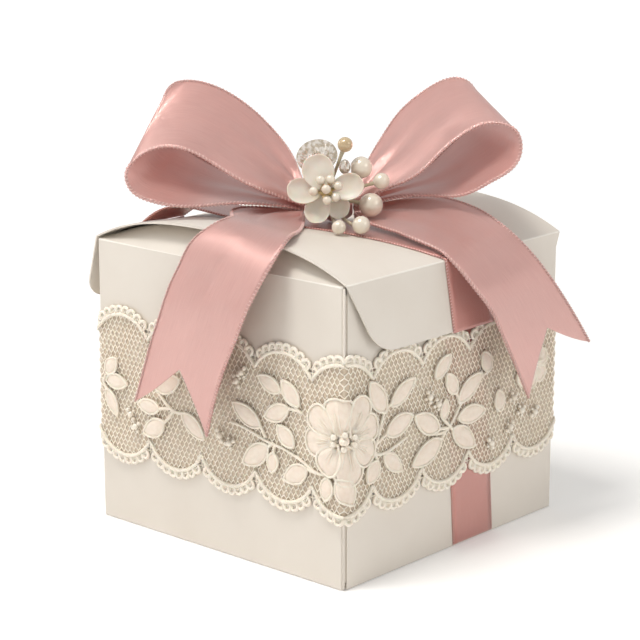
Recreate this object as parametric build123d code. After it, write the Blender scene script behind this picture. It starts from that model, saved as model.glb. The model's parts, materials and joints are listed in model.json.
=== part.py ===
from build123d import *
import os
from math import atan2, cos, degrees, hypot, pi, radians, sin

# Wedding favour box of folded card: an open carton with a lace band round it,
# an arched lid panel with two hanging flaps, and a satin ribbon tied in a bow
# under a flower with pearl sprays.  Millimetres, +Z up, +X east, +Y north.
# The origin is the centre of the footprint, on the surface the box stands on.

# ---- driving dimensions ------------------------------------------------------
BOX_X = 100.0            # outside, west to east
BOX_Y = 100.0            # outside, south to north
BOX_H = 88.7             # carton alone, from its underside to its top edge
CARD = 0.5               # card thickness
EDGE_R = 1.0             # folded vertical edges
SEAM_FACET = 1.1         # bevel beside the glued seam
SEAM_GAP = 0.3           # slit between the seam's two edges
GLUE_TAB_W = 14.0
GLUE_TAB_DROP = 2.0      # tab ends this far below the top edge
FIT = 0.1                # air between faces that slide or rest on each other
FLAP_SIDE_GAP = 0.4      # free sides of inner flaps
BOTTOM_FLAP_L = 62.0
BOTTOM_FLAP_SIDE_L = 40.0
BOTTOM_LAYERS = 4        # the glue tab ends this many layers of card above the floor

DUST_FLAP_L = 44.0       # inner flaps under the lid
DUST_BOW = 10.0          # each rises within this far of its fold, to nest under the arch
DUST_NEST = 0.9          # share of the arch that it rises by

LID_RISE = 8.5           # lid arch above its end folds, at the south and north edges
LID_DIP = 4.5            # how far the ribbon pulls the arch down at the middle
LID_FLAP_L = 21.0        # hanging flap, fold to free edge
EAST_BEVEL = 7.5         # inset of its straight slanted side where the corner curve starts
EAST_INSET = 20.0        # each corner curve ends this far in from the side
EAST_FLARE = 6.0         # degrees that the flap stands away from the wall
WEST_BEVEL = 0.8
WEST_INSET = 12.0
WEST_FLARE = 18.0
LID_WALL_GAP = 0.35      # fold line outside the wall face

RIBBON_T = 0.3           # narrow ribbon round the box
RIBBON_W = 19.0
RIBBON_Y_EAST_TOP = 2.5      # ribbon centre line where it crosses each fold
RIBBON_Y_EAST_LOW = 9.5
RIBBON_Y_WEST_TOP = -23.0
RIBBON_LOFT = 3.5        # slack ribbon stands off the lid west of the knot
RIBBON_SLACK_X = -14.0   # and lies flat again east of this
RIBBON_Y_WEST_LOW = -8.0

LACE_T = 0.6
LACE_GAP = 0.05          # lace stands off the ribbon that passes under it
LACE_DROP = 21.2         # upper scallops' mean height, down from the box's top edge
LACE_W = 45.6            # between the mean heights of the upper and lower scallops
LACE_SCALLOP = 3.2       # depth of one scallop
LACE_COUNT = 18          # scallops round the box
MOTIF_T = 0.7            # raised embroidery on the lace
BEAD_R = 1.1

BOW_T = 0.4              # wide satin ribbon
BOW_DRAWN_Z = 93.6       # the bow's rungs are drawn for a lid top this high
TAIL_DRAWN = 50.0        # and the tails' for walls this far from the middle
NOTCH_REACH = 12.8       # a notch's cutter reaches this far to each side of its point
RUNG_PANELS = 3          # ruled panels between two listed rungs
BOW_TURN = 42.0          # the bow's own right-hand side, turned from east
KNOT_R = 5.0
KNOT_L = 14.4
KNOT_Y = -5.0            # knot centre in the bow's frame
KNOT_CLEAR = 0.45        # knot above the ribbon it is tied to

PETAL_T = 0.8
PETAL_STEP = 0.85        # petals are stacked by this much
FLOWER_AT = (-1.0, -17.0, 105.3)
FLOWER_TILT = 20.0       # flower face looks up by this much
STAMEN_R = 1.4
STEM_R = 0.5

STANDING = (Align.CENTER, Align.CENTER, Align.MIN)

# ---- values worked out from them ----------------------------------------------
HALF_X, HALF_Y = BOX_X / 2, BOX_Y / 2
FLOOR_Z = RIBBON_T                       # carton stands on the ribbon under it
TOP_Z = FLOOR_Z + BOX_H                  # top edge of the east and west walls
DUST_FOLD_Z = TOP_Z - CARD - FIT         # top edge of the south and north walls
LID_FOLD_X = HALF_X + LID_WALL_GAP
LID_FOLD_Z = TOP_Z + FIT
RIBBON_WALL_X = HALF_X                   # ribbon lies on the wall
LACE_IN = RIBBON_T + LACE_GAP            # lace's inner face, out from the wall
LACE_HIGH = TOP_Z - LACE_DROP
LACE_LOW = LACE_HIGH - LACE_W
DUST_FLAP_HALF = HALF_X - CARD - FLAP_SIDE_GAP


def lid_height(x, y):
    """Underside of the arched lid panel."""
    end = min(1.0, abs(x) / LID_FOLD_X)
    middle = (1 - (y / HALF_Y) ** 2) ** 2
    return LID_FOLD_Z + (LID_RISE - LID_DIP * middle) * (1 - end ** 3)


def dust_height(x, y):
    """Underside of a dust flap, bowed up from its straight fold."""
    inward = min(1.0, (HALF_Y - CARD - abs(y)) / DUST_BOW)
    return DUST_FOLD_Z + DUST_NEST * (lid_height(x, y) - LID_FOLD_Z) * (1 - (1 - inward) ** 2)


def from_bow(point):
    """Bow frame (x right, y back, z up) to the box frame."""
    turn = radians(BOW_TURN)
    x, y, z = point
    return Vector(x * cos(turn) - y * sin(turn), x * sin(turn) + y * cos(turn), z + bow_lift())


def bow_lift():
    """The bow follows the top of the lid when the box or the arch changes."""
    return lid_height(0, 0) + CARD - BOW_DRAWN_Z


def block(x0, x1, y0, y1, z0, z1):
    return Pos((x0 + x1) / 2, (y0 + y1) / 2, (z0 + z1) / 2) * Box(x1 - x0, y1 - y0, z1 - z0)


def single(shape):
    """The one solid of a shape."""
    return shape.solids()[0]


def group(shapes):
    """Separate solids that share one node."""
    solids = [solid for shape in shapes for solid in shape.solids()]
    return Compound(children=solids) if len(solids) > 1 else solids[0]


# ---- carton ---------------------------------------------------------------------
def carton_walls():
    outer = Pos(0, 0, FLOOR_Z + BOX_H / 2) * Box(BOX_X, BOX_Y, BOX_H)
    edges = [edge for edge in outer.edges().filter_by(Axis.Z)
             if not (edge.center().X > 0 and edge.center().Y < 0)]
    outer = fillet(edges, EDGE_R)
    seam_edge = [edge for edge in outer.edges().filter_by(Axis.Z)
                 if edge.center().X > HALF_X - EDGE_R / 2 and edge.center().Y < -HALF_Y + EDGE_R / 2]
    outer = chamfer(seam_edge, SEAM_FACET)
    inner = Pos(0, 0, FLOOR_Z + BOX_H / 2) * Box(BOX_X - 2 * CARD, BOX_Y - 2 * CARD, BOX_H + 1)
    walls = outer - inner
    for side in (-1, 1):
        low_top = block(-HALF_X + CARD, HALF_X - CARD, side * HALF_Y - CARD, side * HALF_Y + CARD,
                        DUST_FOLD_Z, TOP_Z + 1)
        walls -= low_top
    slit_y = -HALF_Y + SEAM_FACET
    walls -= block(HALF_X - CARD, HALF_X + 1, slit_y, slit_y + SEAM_GAP, FLOOR_Z - 1, TOP_Z + 1)
    return single(walls)


def glue_tab():
    inside_x, inside_y = HALF_X - CARD, HALF_Y - CARD
    return block(inside_x - CARD, inside_x, -inside_y, -inside_y + GLUE_TAB_W,
                 FLOOR_Z + BOTTOM_LAYERS * CARD, DUST_FOLD_Z - GLUE_TAB_DROP)


def bottom_flap(side, layer, length, along_x):
    """One of the four bottom flaps; layer 0 is the lowest."""
    half_x, half_y = HALF_X - CARD, HALF_Y - CARD
    z0 = FLOOR_Z + layer * CARD
    if along_x:
        fold, free = side * half_x, side * (half_x - length)
        reach = half_y - FLAP_SIDE_GAP - CARD
        return block(min(fold, free), max(fold, free), -reach, reach, z0, z0 + CARD)
    fold, free = side * half_y, side * (half_y - length)
    reach = half_x - FLAP_SIDE_GAP
    return block(-reach, reach, min(fold, free), max(fold, free), z0, z0 + CARD)


def dust_flap(side):
    """Inner flap folded in from the top of the south (-1) or north (+1) wall."""
    corner = DUST_FLAP_L / 4
    columns, rows = 17, 21
    grid = []
    for row in range(rows):
        inward = DUST_FLAP_L * row / (rows - 1)
        past = max(0.0, inward - (DUST_FLAP_L - corner)) / corner
        half = DUST_FLAP_HALF - corner * (1 - (1 - past ** 2) ** 0.5) * 0.9
        y = side * (HALF_Y - CARD - inward)
        line = [half * (2 * column / (columns - 1) - 1) for column in range(columns)]
        grid.append([Vector(x, y, dust_height(x, y)) for x in line])
    face = Face.make_surface_from_array_of_points(grid, tol=0.02)
    return Solid.thicken(face, CARD if face.normal_at().Z > 0 else -CARD)


# ---- lid ------------------------------------------------------------------------
def arched_face(x0, x1, y_mid, half_width, clear=None, skew=None):
    """Face that follows the lid's underside, raised by clear(x); skew(x) shifts it in y."""
    columns, rows = 25, 9
    lift = clear or (lambda x: 0.0)
    shift = skew or (lambda x: 0.0)
    grid = []
    for column in range(columns):
        x = x0 + (x1 - x0) * column / (columns - 1)
        line = []
        for row in range(rows):
            y = y_mid + shift(x) + half_width * (2 * row / (rows - 1) - 1)
            line.append(Vector(x, y, lid_height(x, y) + lift(x)))
        grid.append(line)
    return Face.make_surface_from_array_of_points(grid, tol=0.02)


def lid_panel():
    half_width = HALF_Y - 2 * FIT
    face = arched_face(-LID_FOLD_X, LID_FOLD_X, 0, half_width)
    return Solid.thicken(face, CARD if face.normal_at().Z > 0 else -CARD)


def slack(x):
    """How far the ribbon over the lid stands off it."""
    share = (x + LID_FOLD_X) / (RIBBON_SLACK_X + LID_FOLD_X)
    return RIBBON_LOFT * sin(pi * share) ** 2 if 0 < share < 1 else 0.0


def ribbon_slope():
    return (RIBBON_Y_EAST_TOP - RIBBON_Y_WEST_TOP) / (2 * LID_FOLD_X)


def ribbon_run_top():
    """Narrow ribbon over the lid, from fold to fold."""
    middle = (RIBBON_Y_EAST_TOP + RIBBON_Y_WEST_TOP) / 2
    reach = LID_FOLD_X - RIBBON_T
    face = arched_face(-reach, reach, middle, RIBBON_W / 2, lambda x: CARD + FIT + slack(x),
                       skew=lambda x: ribbon_slope() * x)
    return Solid.thicken(face, RIBBON_T if face.normal_at().Z > 0 else -RIBBON_T)


def hang(solid, side):
    """Swing a flap drawn hanging straight down out to its flare."""
    fold = Axis((side * LID_FOLD_X, 0, LID_FOLD_Z), (0, 1, 0))
    return solid.rotate(fold, -EAST_FLARE if side > 0 else WEST_FLARE)


def flap_outline(bevel, inset):
    """Hanging flap's outline in Y and Z, its fold along the top."""
    half = HALF_Y - 2 * FIT
    knee_y, knee_z = half - bevel, -LID_FLAP_L * 2 / 3
    free_y = half - inset
    slope = (-bevel, knee_z)
    with BuildSketch(Plane.YZ) as sketch:
        with BuildLine():
            Line((-half, 0), (half, 0))
            Line((half, 0), (knee_y, knee_z))
            TangentArc((knee_y, knee_z), (free_y, -LID_FLAP_L), tangent=slope)
            Line((free_y, -LID_FLAP_L), (-free_y, -LID_FLAP_L))
            TangentArc((-knee_y, knee_z), (-free_y, -LID_FLAP_L), tangent=(-slope[0], slope[1]))
            Line((-knee_y, knee_z), (-half, 0))
        make_face()
    return sketch.sketch.face()


def lid_flap(side):
    start = Pos(side * LID_FOLD_X, 0, LID_FOLD_Z)
    outline = flap_outline(EAST_BEVEL, EAST_INSET) if side > 0 else flap_outline(WEST_BEVEL, WEST_INSET)
    flap = extrude(start * outline, CARD, dir=(side, 0, 0))
    return single(hang(flap, side))


def ribbon_band(side, x_in, y_top, y_low, z_top, z_low):
    """Slanted strip of narrow ribbon on a wall plane; x_in is its inner face."""
    def centre(z):
        return y_top + (y_low - y_top) * (TOP_Z - z) / BOX_H
    half = RIBBON_W / 2
    with BuildSketch(Plane.YZ) as sketch:
        with BuildLine():
            Polyline((centre(z_top) - half, z_top), (centre(z_top) + half, z_top),
                     (centre(z_low) + half, z_low), (centre(z_low) - half, z_low), close=True)
        make_face()
    return extrude(Pos(side * x_in, 0, 0) * sketch.sketch.face(), RIBBON_T, dir=(side, 0, 0))


def ribbon_ends(side):
    if side > 0:
        return RIBBON_Y_EAST_TOP, RIBBON_Y_EAST_LOW
    return RIBBON_Y_WEST_TOP, RIBBON_Y_WEST_LOW


def ribbon_flap(side):
    """Narrow ribbon over a hanging flap, down to the flap's free edge."""
    y_top, y_low = ribbon_ends(side)
    strip = ribbon_band(side, LID_FOLD_X + CARD + FIT, y_top, y_low,
                        LID_FOLD_Z, LID_FOLD_Z - LID_FLAP_L)
    return single(hang(strip, side))


def ribbon_run(side):
    """Narrow ribbon down a carton wall, from the flap's free edge to the floor."""
    y_top, y_low = ribbon_ends(side)
    return single(ribbon_band(side, RIBBON_WALL_X, y_top, y_low,
                              TOP_Z - LID_FLAP_L - 2 * CARD, 0))


def ribbon_run_under():
    half = RIBBON_W / 2
    with BuildSketch() as sketch:
        with BuildLine():
            Polyline((HALF_X, RIBBON_Y_EAST_LOW - half), (HALF_X, RIBBON_Y_EAST_LOW + half),
                     (-HALF_X, RIBBON_Y_WEST_LOW + half), (-HALF_X, RIBBON_Y_WEST_LOW - half),
                     close=True)
        make_face()
    return single(extrude(sketch.sketch, RIBBON_T))


# ---- lace band --------------------------------------------------------------------
def ring_prism(out, z0, z1):
    """Rounded square block that stands out from the carton walls by out."""
    ring = Pos(0, 0, (z0 + z1) / 2) * Box(BOX_X + 2 * out, BOX_Y + 2 * out, z1 - z0)
    return fillet(ring.edges().filter_by(Axis.Z), EDGE_R + out)


def scallop_pitch():
    return 2 * (BOX_X + BOX_Y) / LACE_COUNT


def scallop_cutters():
    """Wedges between the lobes, one pair at each cusp, on every wall plane.

    Lobes are counted both ways from the south-east corner and again from the north-west."""
    pitch = scallop_pitch()
    cutters = []
    for wall in range(4):
        run, half = (BOX_Y, HALF_X) if wall % 2 else (BOX_X, HALF_Y)
        toward = 1 if wall % 2 else -1
        for index in range(int(run / pitch)):
            x = toward * ((index + 0.5) * pitch - run / 2)
            for edge_z, way in ((LACE_LOW, 1), (LACE_HIGH, -1)):
                with BuildSketch(Plane.XZ) as sketch:
                    with BuildLine():
                        Polyline((x - pitch * 0.3, edge_z - way * LACE_SCALLOP),
                                 (x + pitch * 0.3, edge_z - way * LACE_SCALLOP),
                                 (x, edge_z + way * LACE_SCALLOP), close=True)
                    make_face()
                wedge = extrude(Pos(0, -half - LACE_IN - LACE_T - 1, 0) * sketch.sketch.face(),
                                LACE_T + 2, dir=(0, 1, 0))
                cutters.append(Rot(0, 0, 90 * wall) * wedge)
    return cutters


def lace_band():
    z0, z1 = LACE_LOW - LACE_SCALLOP, LACE_HIGH + LACE_SCALLOP / 2
    band = ring_prism(LACE_IN + LACE_T, z0, z1) - ring_prism(LACE_IN, z0 - 1, z1 + 1)
    return single(band - scallop_cutters())


def wall_place(wall, along, z, out):
    """Frame on a wall: wall 0 south, 1 east, 2 north, 3 west; along is from its middle,
    to the right as one looks at it, and its z axis points out of the wall."""
    half = HALF_Y if wall % 2 == 0 else HALF_X
    return (Rot(0, 0, 90 * wall) * Pos(along, -half - out, z) * Rot(90, 0, 0))


def blossom(radius, thick, petals=8):
    """Flat embroidered flower, drawn on XY."""
    flower = Cylinder(radius * 0.6, thick, align=STANDING)
    for index in range(petals):
        angle = 360 * index / petals
        flower += (Rot(0, 0, angle) * Pos(radius * 0.68, 0, 0)
                   * Cylinder(radius * 0.32, thick, align=STANDING))
    return single(flower)


def leaf_solid(length, width, thick):
    """Pointed oval leaf from its stalk at the origin along +X."""
    with BuildSketch() as sketch:
        with BuildLine():
            ThreePointArc((0, 0), (length / 2, width / 2), (length, 0))
            ThreePointArc((length, 0), (length / 2, -width / 2), (0, 0))
        make_face()
    return single(extrude(sketch.sketch, thick))


# Sprigs on the south and east walls, repeated on the north and west walls.
# Each leaf: along the wall from its middle, height on the lace, direction, length, width.
SPRIG_SOUTH = ((27, 33, 160, 9, 4.5), (34, 30, 135, 9, 5), (30, 28.5, 205, 10, 5),
               (19, 21, 155, 12, 5.5), (32, 17.5, 140, 8, 5), (22, 15.5, 215, 12, 6),
               (24, 14, 265, 6, 4), (37, 12, 210, 10, 5.5), (-46, 23, 0, 9, 4.5),
               (-46, 20, 300, 9, 4), (-46, 25, 50, 7, 4.5), (-23, 18, 180, 9, 4.5),
               (-21, 14, 210, 10, 5.5), (-24, 24, 25, 11, 5.5), (-13, 18.5, 325, 11, 5))
SPRIG_EAST = ((-33.5, 28, 125, 12, 6), (-31, 29, 30, 12, 5), (-33, 21, 15, 12, 6),
              (-37, 14, 235, 7, 5.5), (-34, 15, 320, 10, 4.5), (-9, 17, 150, 13, 6),
              (-7, 19.5, 80, 6, 3.5), (-8, 13.5, 200, 14, 6.5), (-2.5, 15.5, 325, 13, 6),
              (0, 18.5, 358, 13, 5.5), (0, 23.5, 30, 13, 5.5), (-1, 26.5, 125, 8, 4.5),
              (-11, 33, 40, 9, 4.5), (15, 30, 115, 7, 4.5), (21, 16, 100, 7, 4.5))
BEADS_SOUTH = ((-35, 14), (-33, 10.5), (3, 15), (7, 13.5), (12, 36), (10, 33))
BEADS_EAST = ((-14, 28), (-10, 25), (16, 7), (25.5, 10), (27, 19), (38, 12), (31, 14))
BLOSSOM_EAST = (36, 27.8, 8)      # second flower, beyond the ribbon
CORNER_FLOWER_Z = LACE_LOW + 22.8
CORNER_FLOWER_R = 13.0


def motif_out():
    return LACE_IN + LACE_T


def lace_leaves():
    leaves = []
    for wall in range(4):
        for along, z, angle, length, width in (SPRIG_EAST if wall % 2 else SPRIG_SOUTH):
            reach = (BOX_Y if wall % 2 else BOX_X) / 100
            leaf = leaf_solid(length, width, MOTIF_T)
            leaves.append(wall_place(wall, along * reach, LACE_LOW + z, motif_out())
                          * Rot(0, 0, angle) * leaf)
    return leaves


def lace_flowers():
    """Two flowers that wrap the south-east and north-west corners, and two flat ones."""
    shell = (ring_prism(motif_out() + MOTIF_T, CORNER_FLOWER_Z - CORNER_FLOWER_R - 1,
                        CORNER_FLOWER_Z + CORNER_FLOWER_R + 1)
             - ring_prism(motif_out(), CORNER_FLOWER_Z - CORNER_FLOWER_R - 2,
                          CORNER_FLOWER_Z + CORNER_FLOWER_R + 2))
    flowers = []
    for side in (1, -1):
        reach = min(HALF_X, HALF_Y) / 2
        stamp = scale(blossom(CORNER_FLOWER_R, 3 * reach), by=(cos(pi / 4), 1, 1))
        facing = atan2(-side, side)
        place = (Pos(side * (HALF_X - reach), -side * (HALF_Y - reach), CORNER_FLOWER_Z)
                 * Rot(0, 0, degrees(facing) + 90) * Rot(90, 0, 0))
        flowers.append(single(shell & (place * stamp)))
    along, z, radius = BLOSSOM_EAST
    for wall in (1, 3):
        flowers.append(wall_place(wall, along * BOX_Y / 100, LACE_LOW + z, motif_out())
                       * blossom(radius, MOTIF_T))
    return flowers


def lace_beads():
    beads = []
    for wall in range(4):
        for along, z in (BEADS_EAST if wall % 2 else BEADS_SOUTH):
            reach = (BOX_Y if wall % 2 else BOX_X) / 100
            place = wall_place(wall, along * reach, LACE_LOW + z, motif_out() + BEAD_R)
            beads.append(place * Sphere(BEAD_R))
    return beads


# ---- bow ---------------------------------------------------------------------------
# Rungs across the wide ribbon, back edge then front edge, in the bow's frame.
LEFT_LOOP = (((-7.4, -3, 102.5), (-7.4, -7, 99.5)), ((-10.5, 5, 111), (-15.5, -9, 102.8)),
             ((-16.5, 11, 119), (-25, -13, 107.5)), ((-25, 13, 127), (-35, -13, 113.5)),
             ((-35, 13, 133), (-44.5, -13, 118)), ((-43.5, 11, 135), (-53.5, -14, 117.5)),
             ((-49, 6, 133), (-59.5, -16, 113)), ((-50.5, 2, 127), (-60.3, -18, 109.5)),
             ((-49.5, 3, 120), (-58, -19, 105.5)), ((-45, 7, 115), (-51, -19, 102.5)),
             ((-36.5, 9, 109.5), (-41, -17, 101)), ((-27.5, 9, 105), (-30.5, -14, 101.3)),
             ((-18.5, 5, 102), (-20, -10, 100.3)), ((-7.4, -3.5, 100.5), (-7.4, -6, 98)))
RIGHT_LOOP = (((7.4, -3, 102.5), (7.4, -7, 99.5)), ((12.5, 7, 112), (18, -9, 105)),
              ((16.5, 12, 117.5), (25, -13, 109)), ((22.5, 14, 125.5), (32.5, -14, 116)),
              ((29, 14, 131), (38, -14, 121)), ((36, 13, 135), (44.5, -15, 125)),
              ((41, 10, 135.5), (50, -17, 126)), ((44.5, 7, 132.5), (55, -19, 124)),
              ((45.5, 7, 128), (56.5, -20, 119.5)), ((44.5, 9, 122), (54.5, -21, 114)),
              ((40, 12, 117), (48, -19, 109)), ((33, 11, 110.5), (39, -15, 104)),
              ((25.5, 8, 105.5), (29, -9, 103)), ((16, 2, 102.5), (17, -6, 101)),
              ((7.4, -3.5, 100.5), (7.4, -6, 98)))
# Rungs of the tails, left or front edge then right or back edge, in the box frame.
LEFT_TAIL = (((-2.2, -9.3, 96.6), (0.2, -11.8, 96.8)), ((-13, -17.5, 98), (5, -17, 96.2)),
             ((-7.5, -35, 99), (20, -36.5, 98)), ((-1, -48.9, 99.6), (27.6, -49.5, 98.2)),
             ((-4.6, -53.3, 95.8), (28.3, -54.4, 94.6)), ((-8.6, -55.5, 88.1), (25.7, -58, 87)),
             ((-11.3, -57.5, 81), (22.5, -60, 79.5)), ((-14.3, -58.5, 72.5), (19.3, -60.5, 72)),
             ((-18, -58.5, 64), (15.2, -60.5, 63.8)), ((-22, -58.5, 53.5), (9.7, -59.5, 53)),
             ((-26.2, -58, 43.5), (4.4, -58.5, 38.5)))
LEFT_NOTCH = (-5.7, -59, 57.4)
RIGHT_TAIL = (((11.7, -1.6, 96.6), (9.7, 0.7, 97)), ((20.5, -4.5, 95.6), (16, 14.5, 100)),
              ((31, -5.5, 95), (25, 21.5, 101)), ((39.5, -6.5, 93.9), (34, 22, 100.4)),
              ((46, -5.5, 92.2), (42, 22, 98.7)), ((51.5, -6.3, 90.4), (50.5, 21.5, 95.4)),
              ((56, -5, 86), (55.5, 24, 90.7)), ((59, -2.5, 81), (59, 27, 85.6)),
              ((60.8, 1.5, 75.5), (61, 30.5, 80.5)), ((61.2, 7, 67), (62.5, 35.5, 73.8)),
              ((61, 13, 58), (63.5, 41.5, 66)), ((60, 23.1, 43.3), (64, 48.6, 56.8)))
RIGHT_NOTCH = (62, 28.2, 65)


def midline_shares(edge_a, edge_b):
    """How far along the ribbon each rung lies, from 0 to 1."""
    mids = [(a + b) * 0.5 for a, b in zip(edge_a, edge_b)]
    run = [0.0]
    for here, there in zip(mids, mids[1:]):
        run.append(run[-1] + (there - here).length)
    return [distance / run[-1] for distance in run]


def satin(edge_a, edge_b):
    """Wide ribbon between two smooth edges, as narrow ruled panels of one thickness."""
    shares = midline_shares(edge_a, edge_b)
    count = RUNG_PANELS * (len(edge_a) - 1) + 1
    sides = []
    for edge in (edge_a, edge_b):
        curve = Edge.make_spline(edge, parameters=shares)
        sides.append([curve.position_at(step / (count - 1), position_mode=PositionMode.PARAMETER)
                      for step in range(count)])
    a, b = sides
    rings = []
    for step in range(count):
        before, after = max(step - 1, 0), min(step + 1, count - 1)
        along = (a[after] + b[after]) - (a[before] + b[before])
        lift = along.cross(b[step] - a[step]).normalized() * BOW_T / 2
        rings.append((a[step] + lift, b[step] + lift, b[step] - lift, a[step] - lift))
    faces = [panel(ring[k], ring[(k + 1) % 4], after[k], after[(k + 1) % 4])
             for ring, after in zip(rings, rings[1:]) for k in range(4)]
    faces += [panel(ring[0], ring[1], ring[3], ring[2]) for ring in (rings[0], rings[-1])]
    return Solid(Shell(faces))


def panel(a0, a1, b0, b1):
    """Ruled patch between the line a0 to a1 and the line b0 to b1."""
    return Face.make_surface_from_curves(Edge.make_line(a0, a1), Edge.make_line(b0, b1))


def bow_loop(rungs):
    return satin([from_bow(back) for back, _ in rungs], [from_bow(front) for _, front in rungs])


def tail_place(point):
    """A tail stands off the box by as much when the box changes size."""
    x, y, z = point
    grow_x = (HALF_X - TAIL_DRAWN) * past_knot(x)
    grow_y = (HALF_Y - TAIL_DRAWN) * past_knot(y)
    return Vector(x + grow_x, y + grow_y, z + bow_lift())


def past_knot(reach):
    """Share of a tail's way from the knot out to the wall, with the sign of its side."""
    beyond = max(0.0, abs(reach) - KNOT_L)
    return (beyond if reach > 0 else -beyond) / (TAIL_DRAWN - KNOT_L)


def bow_tail(rungs, notch, through):
    """Hanging tail with a swallow-tail notch cut straight through along a direction."""
    tail = satin([tail_place(a) for a, _ in rungs], [tail_place(b) for _, b in rungs])
    tip_a, tip_b = (tail_place(point) for point in rungs[-1])
    point = tail_place(notch)
    past = ((tip_a + tip_b) * 0.5 - point).normalized() * BOW_T
    back = Vector(*through) * -NOTCH_REACH
    corners = [point + back, tip_a + past + back, tip_b + past + back]
    wedge = extrude(Face(Wire.make_polygon(corners, close=True)), 2 * NOTCH_REACH, dir=through)
    return single(tail - wedge)


def knot_centre():
    drawn = lid_height(0, 0) + CARD + FIT + RIBBON_T + KNOT_CLEAR + KNOT_R
    spot = from_bow((0, KNOT_Y, 0))
    return Vector(spot.X, spot.Y, drawn)


def bow_knot():
    barrel = Cylinder(KNOT_R, KNOT_L)
    barrel = fillet(barrel.edges(), KNOT_R * 0.3)
    return single(Pos(knot_centre()) * Rot(0, 0, BOW_TURN) * Rot(0, 90, 0) * barrel)


# ---- flower and sprays ----------------------------------------------------------------
# Petals: direction in the flower's face, centre distance, half length, half width.
PETALS = {"top": (110, 6.4, 5.4, 5.2), "left": (176, 6.6, 5.2, 4.2), "right": (16, 6.6, 5.0, 4.4),
          "lower_left": (243, 5.4, 4.5, 4.1), "lower_right": (312, 4.8, 4.2, 3.9)}
STAMENS = ((0, 0.4, 3.9), (-3.7, 0, 2.6), (0.3, -2.8, 2.9), (2.8, -1.8, 2.4), (3.6, 1.6, 2.4),
           (1.3, 3.6, 2.4), (-1.6, 3.4, 2.4))
# Spray pearls in the bow's frame: centre, radius and, where the wire is bent, its knee.
PEARL_GOLD = ((4.7, -12, 118.9), 2.3)
PEARLS_LARGE = (((9.6, -9.8, 111.6), 3.3), ((12.5, -13, 100.8), 3.6))
PEARLS_SMALL = (((15.6, -12, 107.9), 2.45), ((2.7, -27, 96.9), 2.1, (1.6, -18.5, 95.4)),
                ((9.3, -25.5, 97.2), 2.7, (5.6, -18, 95.4)))
LEAF_AT = (-3.7, -11, 115.4)
LEAF_TURN = 12.0
BUD_AT = (4.6, -12, 112.2)
BASE_R = 3.0
BASE_BACK = 5.0          # flower base reaches this far behind the petals


def flower_frame():
    """Plane of the flower: x to the right of the bow, z out of the flower's face."""
    turn, tilt = radians(BOW_TURN), radians(FLOWER_TILT)
    right = Vector(cos(turn), sin(turn), 0)
    out = Vector(sin(turn) * cos(tilt), -cos(turn) * cos(tilt), sin(tilt))
    return Plane(origin=from_bow(FLOWER_AT), x_dir=right, z_dir=out)


def petal(name):
    angle, distance, half_length, half_width = PETALS[name]
    layer = list(PETALS).index(name) * PETAL_STEP
    with BuildSketch() as sketch:
        Ellipse(half_length, half_width)
    plate = extrude(sketch.sketch, PETAL_T)
    place = Rot(0, 0, angle) * Pos(distance, 0, -layer)
    return single(flower_frame().location * place * plate)


def flower_base():
    """Wrapped pad behind the petals, tied against the knot."""
    low = -PETAL_STEP * (len(PETALS) - 1)
    stub = Pos(0, 0, low - BASE_BACK) * Cylinder(BASE_R, BASE_BACK, align=STANDING)
    return single(flower_frame().location * stub - bow_knot())


def stamen_pearls():
    frame = flower_frame().location
    return [frame * Pos(*spot) * Sphere(STAMEN_R) for spot in STAMENS]


def stamen_cone():
    """Bead wires gathered at the flower's heart, from the petals to the pearls."""
    frame = flower_frame().location
    heart = Pos(0, 0, PETAL_T) * Cone(2.6, 1.2, 2.2, align=STANDING)
    return single(frame * heart - group(stamen_pearls()))


def pearls(items):
    return [Pos(from_bow(item[0])) * Sphere(item[1]) for item in items]


def wire(start, end):
    return (Plane(origin=start, z_dir=(end - start).normalized()).location
            * Cylinder(STEM_R, (end - start).length, align=STANDING))


def stem(end, radius, knee=None):
    """Wire from the flower base to the surface of a pearl, bent at a knee if it has one."""
    frame = flower_frame()
    target = from_bow(end)
    first = from_bow(knee) if knee else target
    local = frame.to_local_coords(first)
    reach = hypot(local.X, local.Y)
    root_depth = -PETAL_STEP * (len(PETALS) - 1) - BASE_BACK * (0.9 if knee else 0.6)
    root = frame.from_local_coords(Vector(local.X / reach * BASE_R, local.Y / reach * BASE_R,
                                          root_depth))
    start = first if knee else root
    stop = target - (target - start).normalized() * radius
    rod = wire(start, stop)
    if knee:
        rod += wire(root, first) + Pos(first) * Sphere(STEM_R)
    return single(rod - flower_base())


def crystal_leaf():
    """Fan-shaped crystal leaf behind the top petal."""
    with BuildSketch() as sketch:
        Ellipse(6.2, 5.0)
    plate = extrude(sketch.sketch, 1.4)
    return single(Pos(from_bow(LEAF_AT)) * Rot(0, 0, BOW_TURN) * Rot(90, 0, 0)
                  * Rot(0, 0, LEAF_TURN) * plate)


def crystal_bud():
    return single(Pos(from_bow(BUD_AT)) * scale(Sphere(1.5), by=(1, 1, 1.55)))


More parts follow.
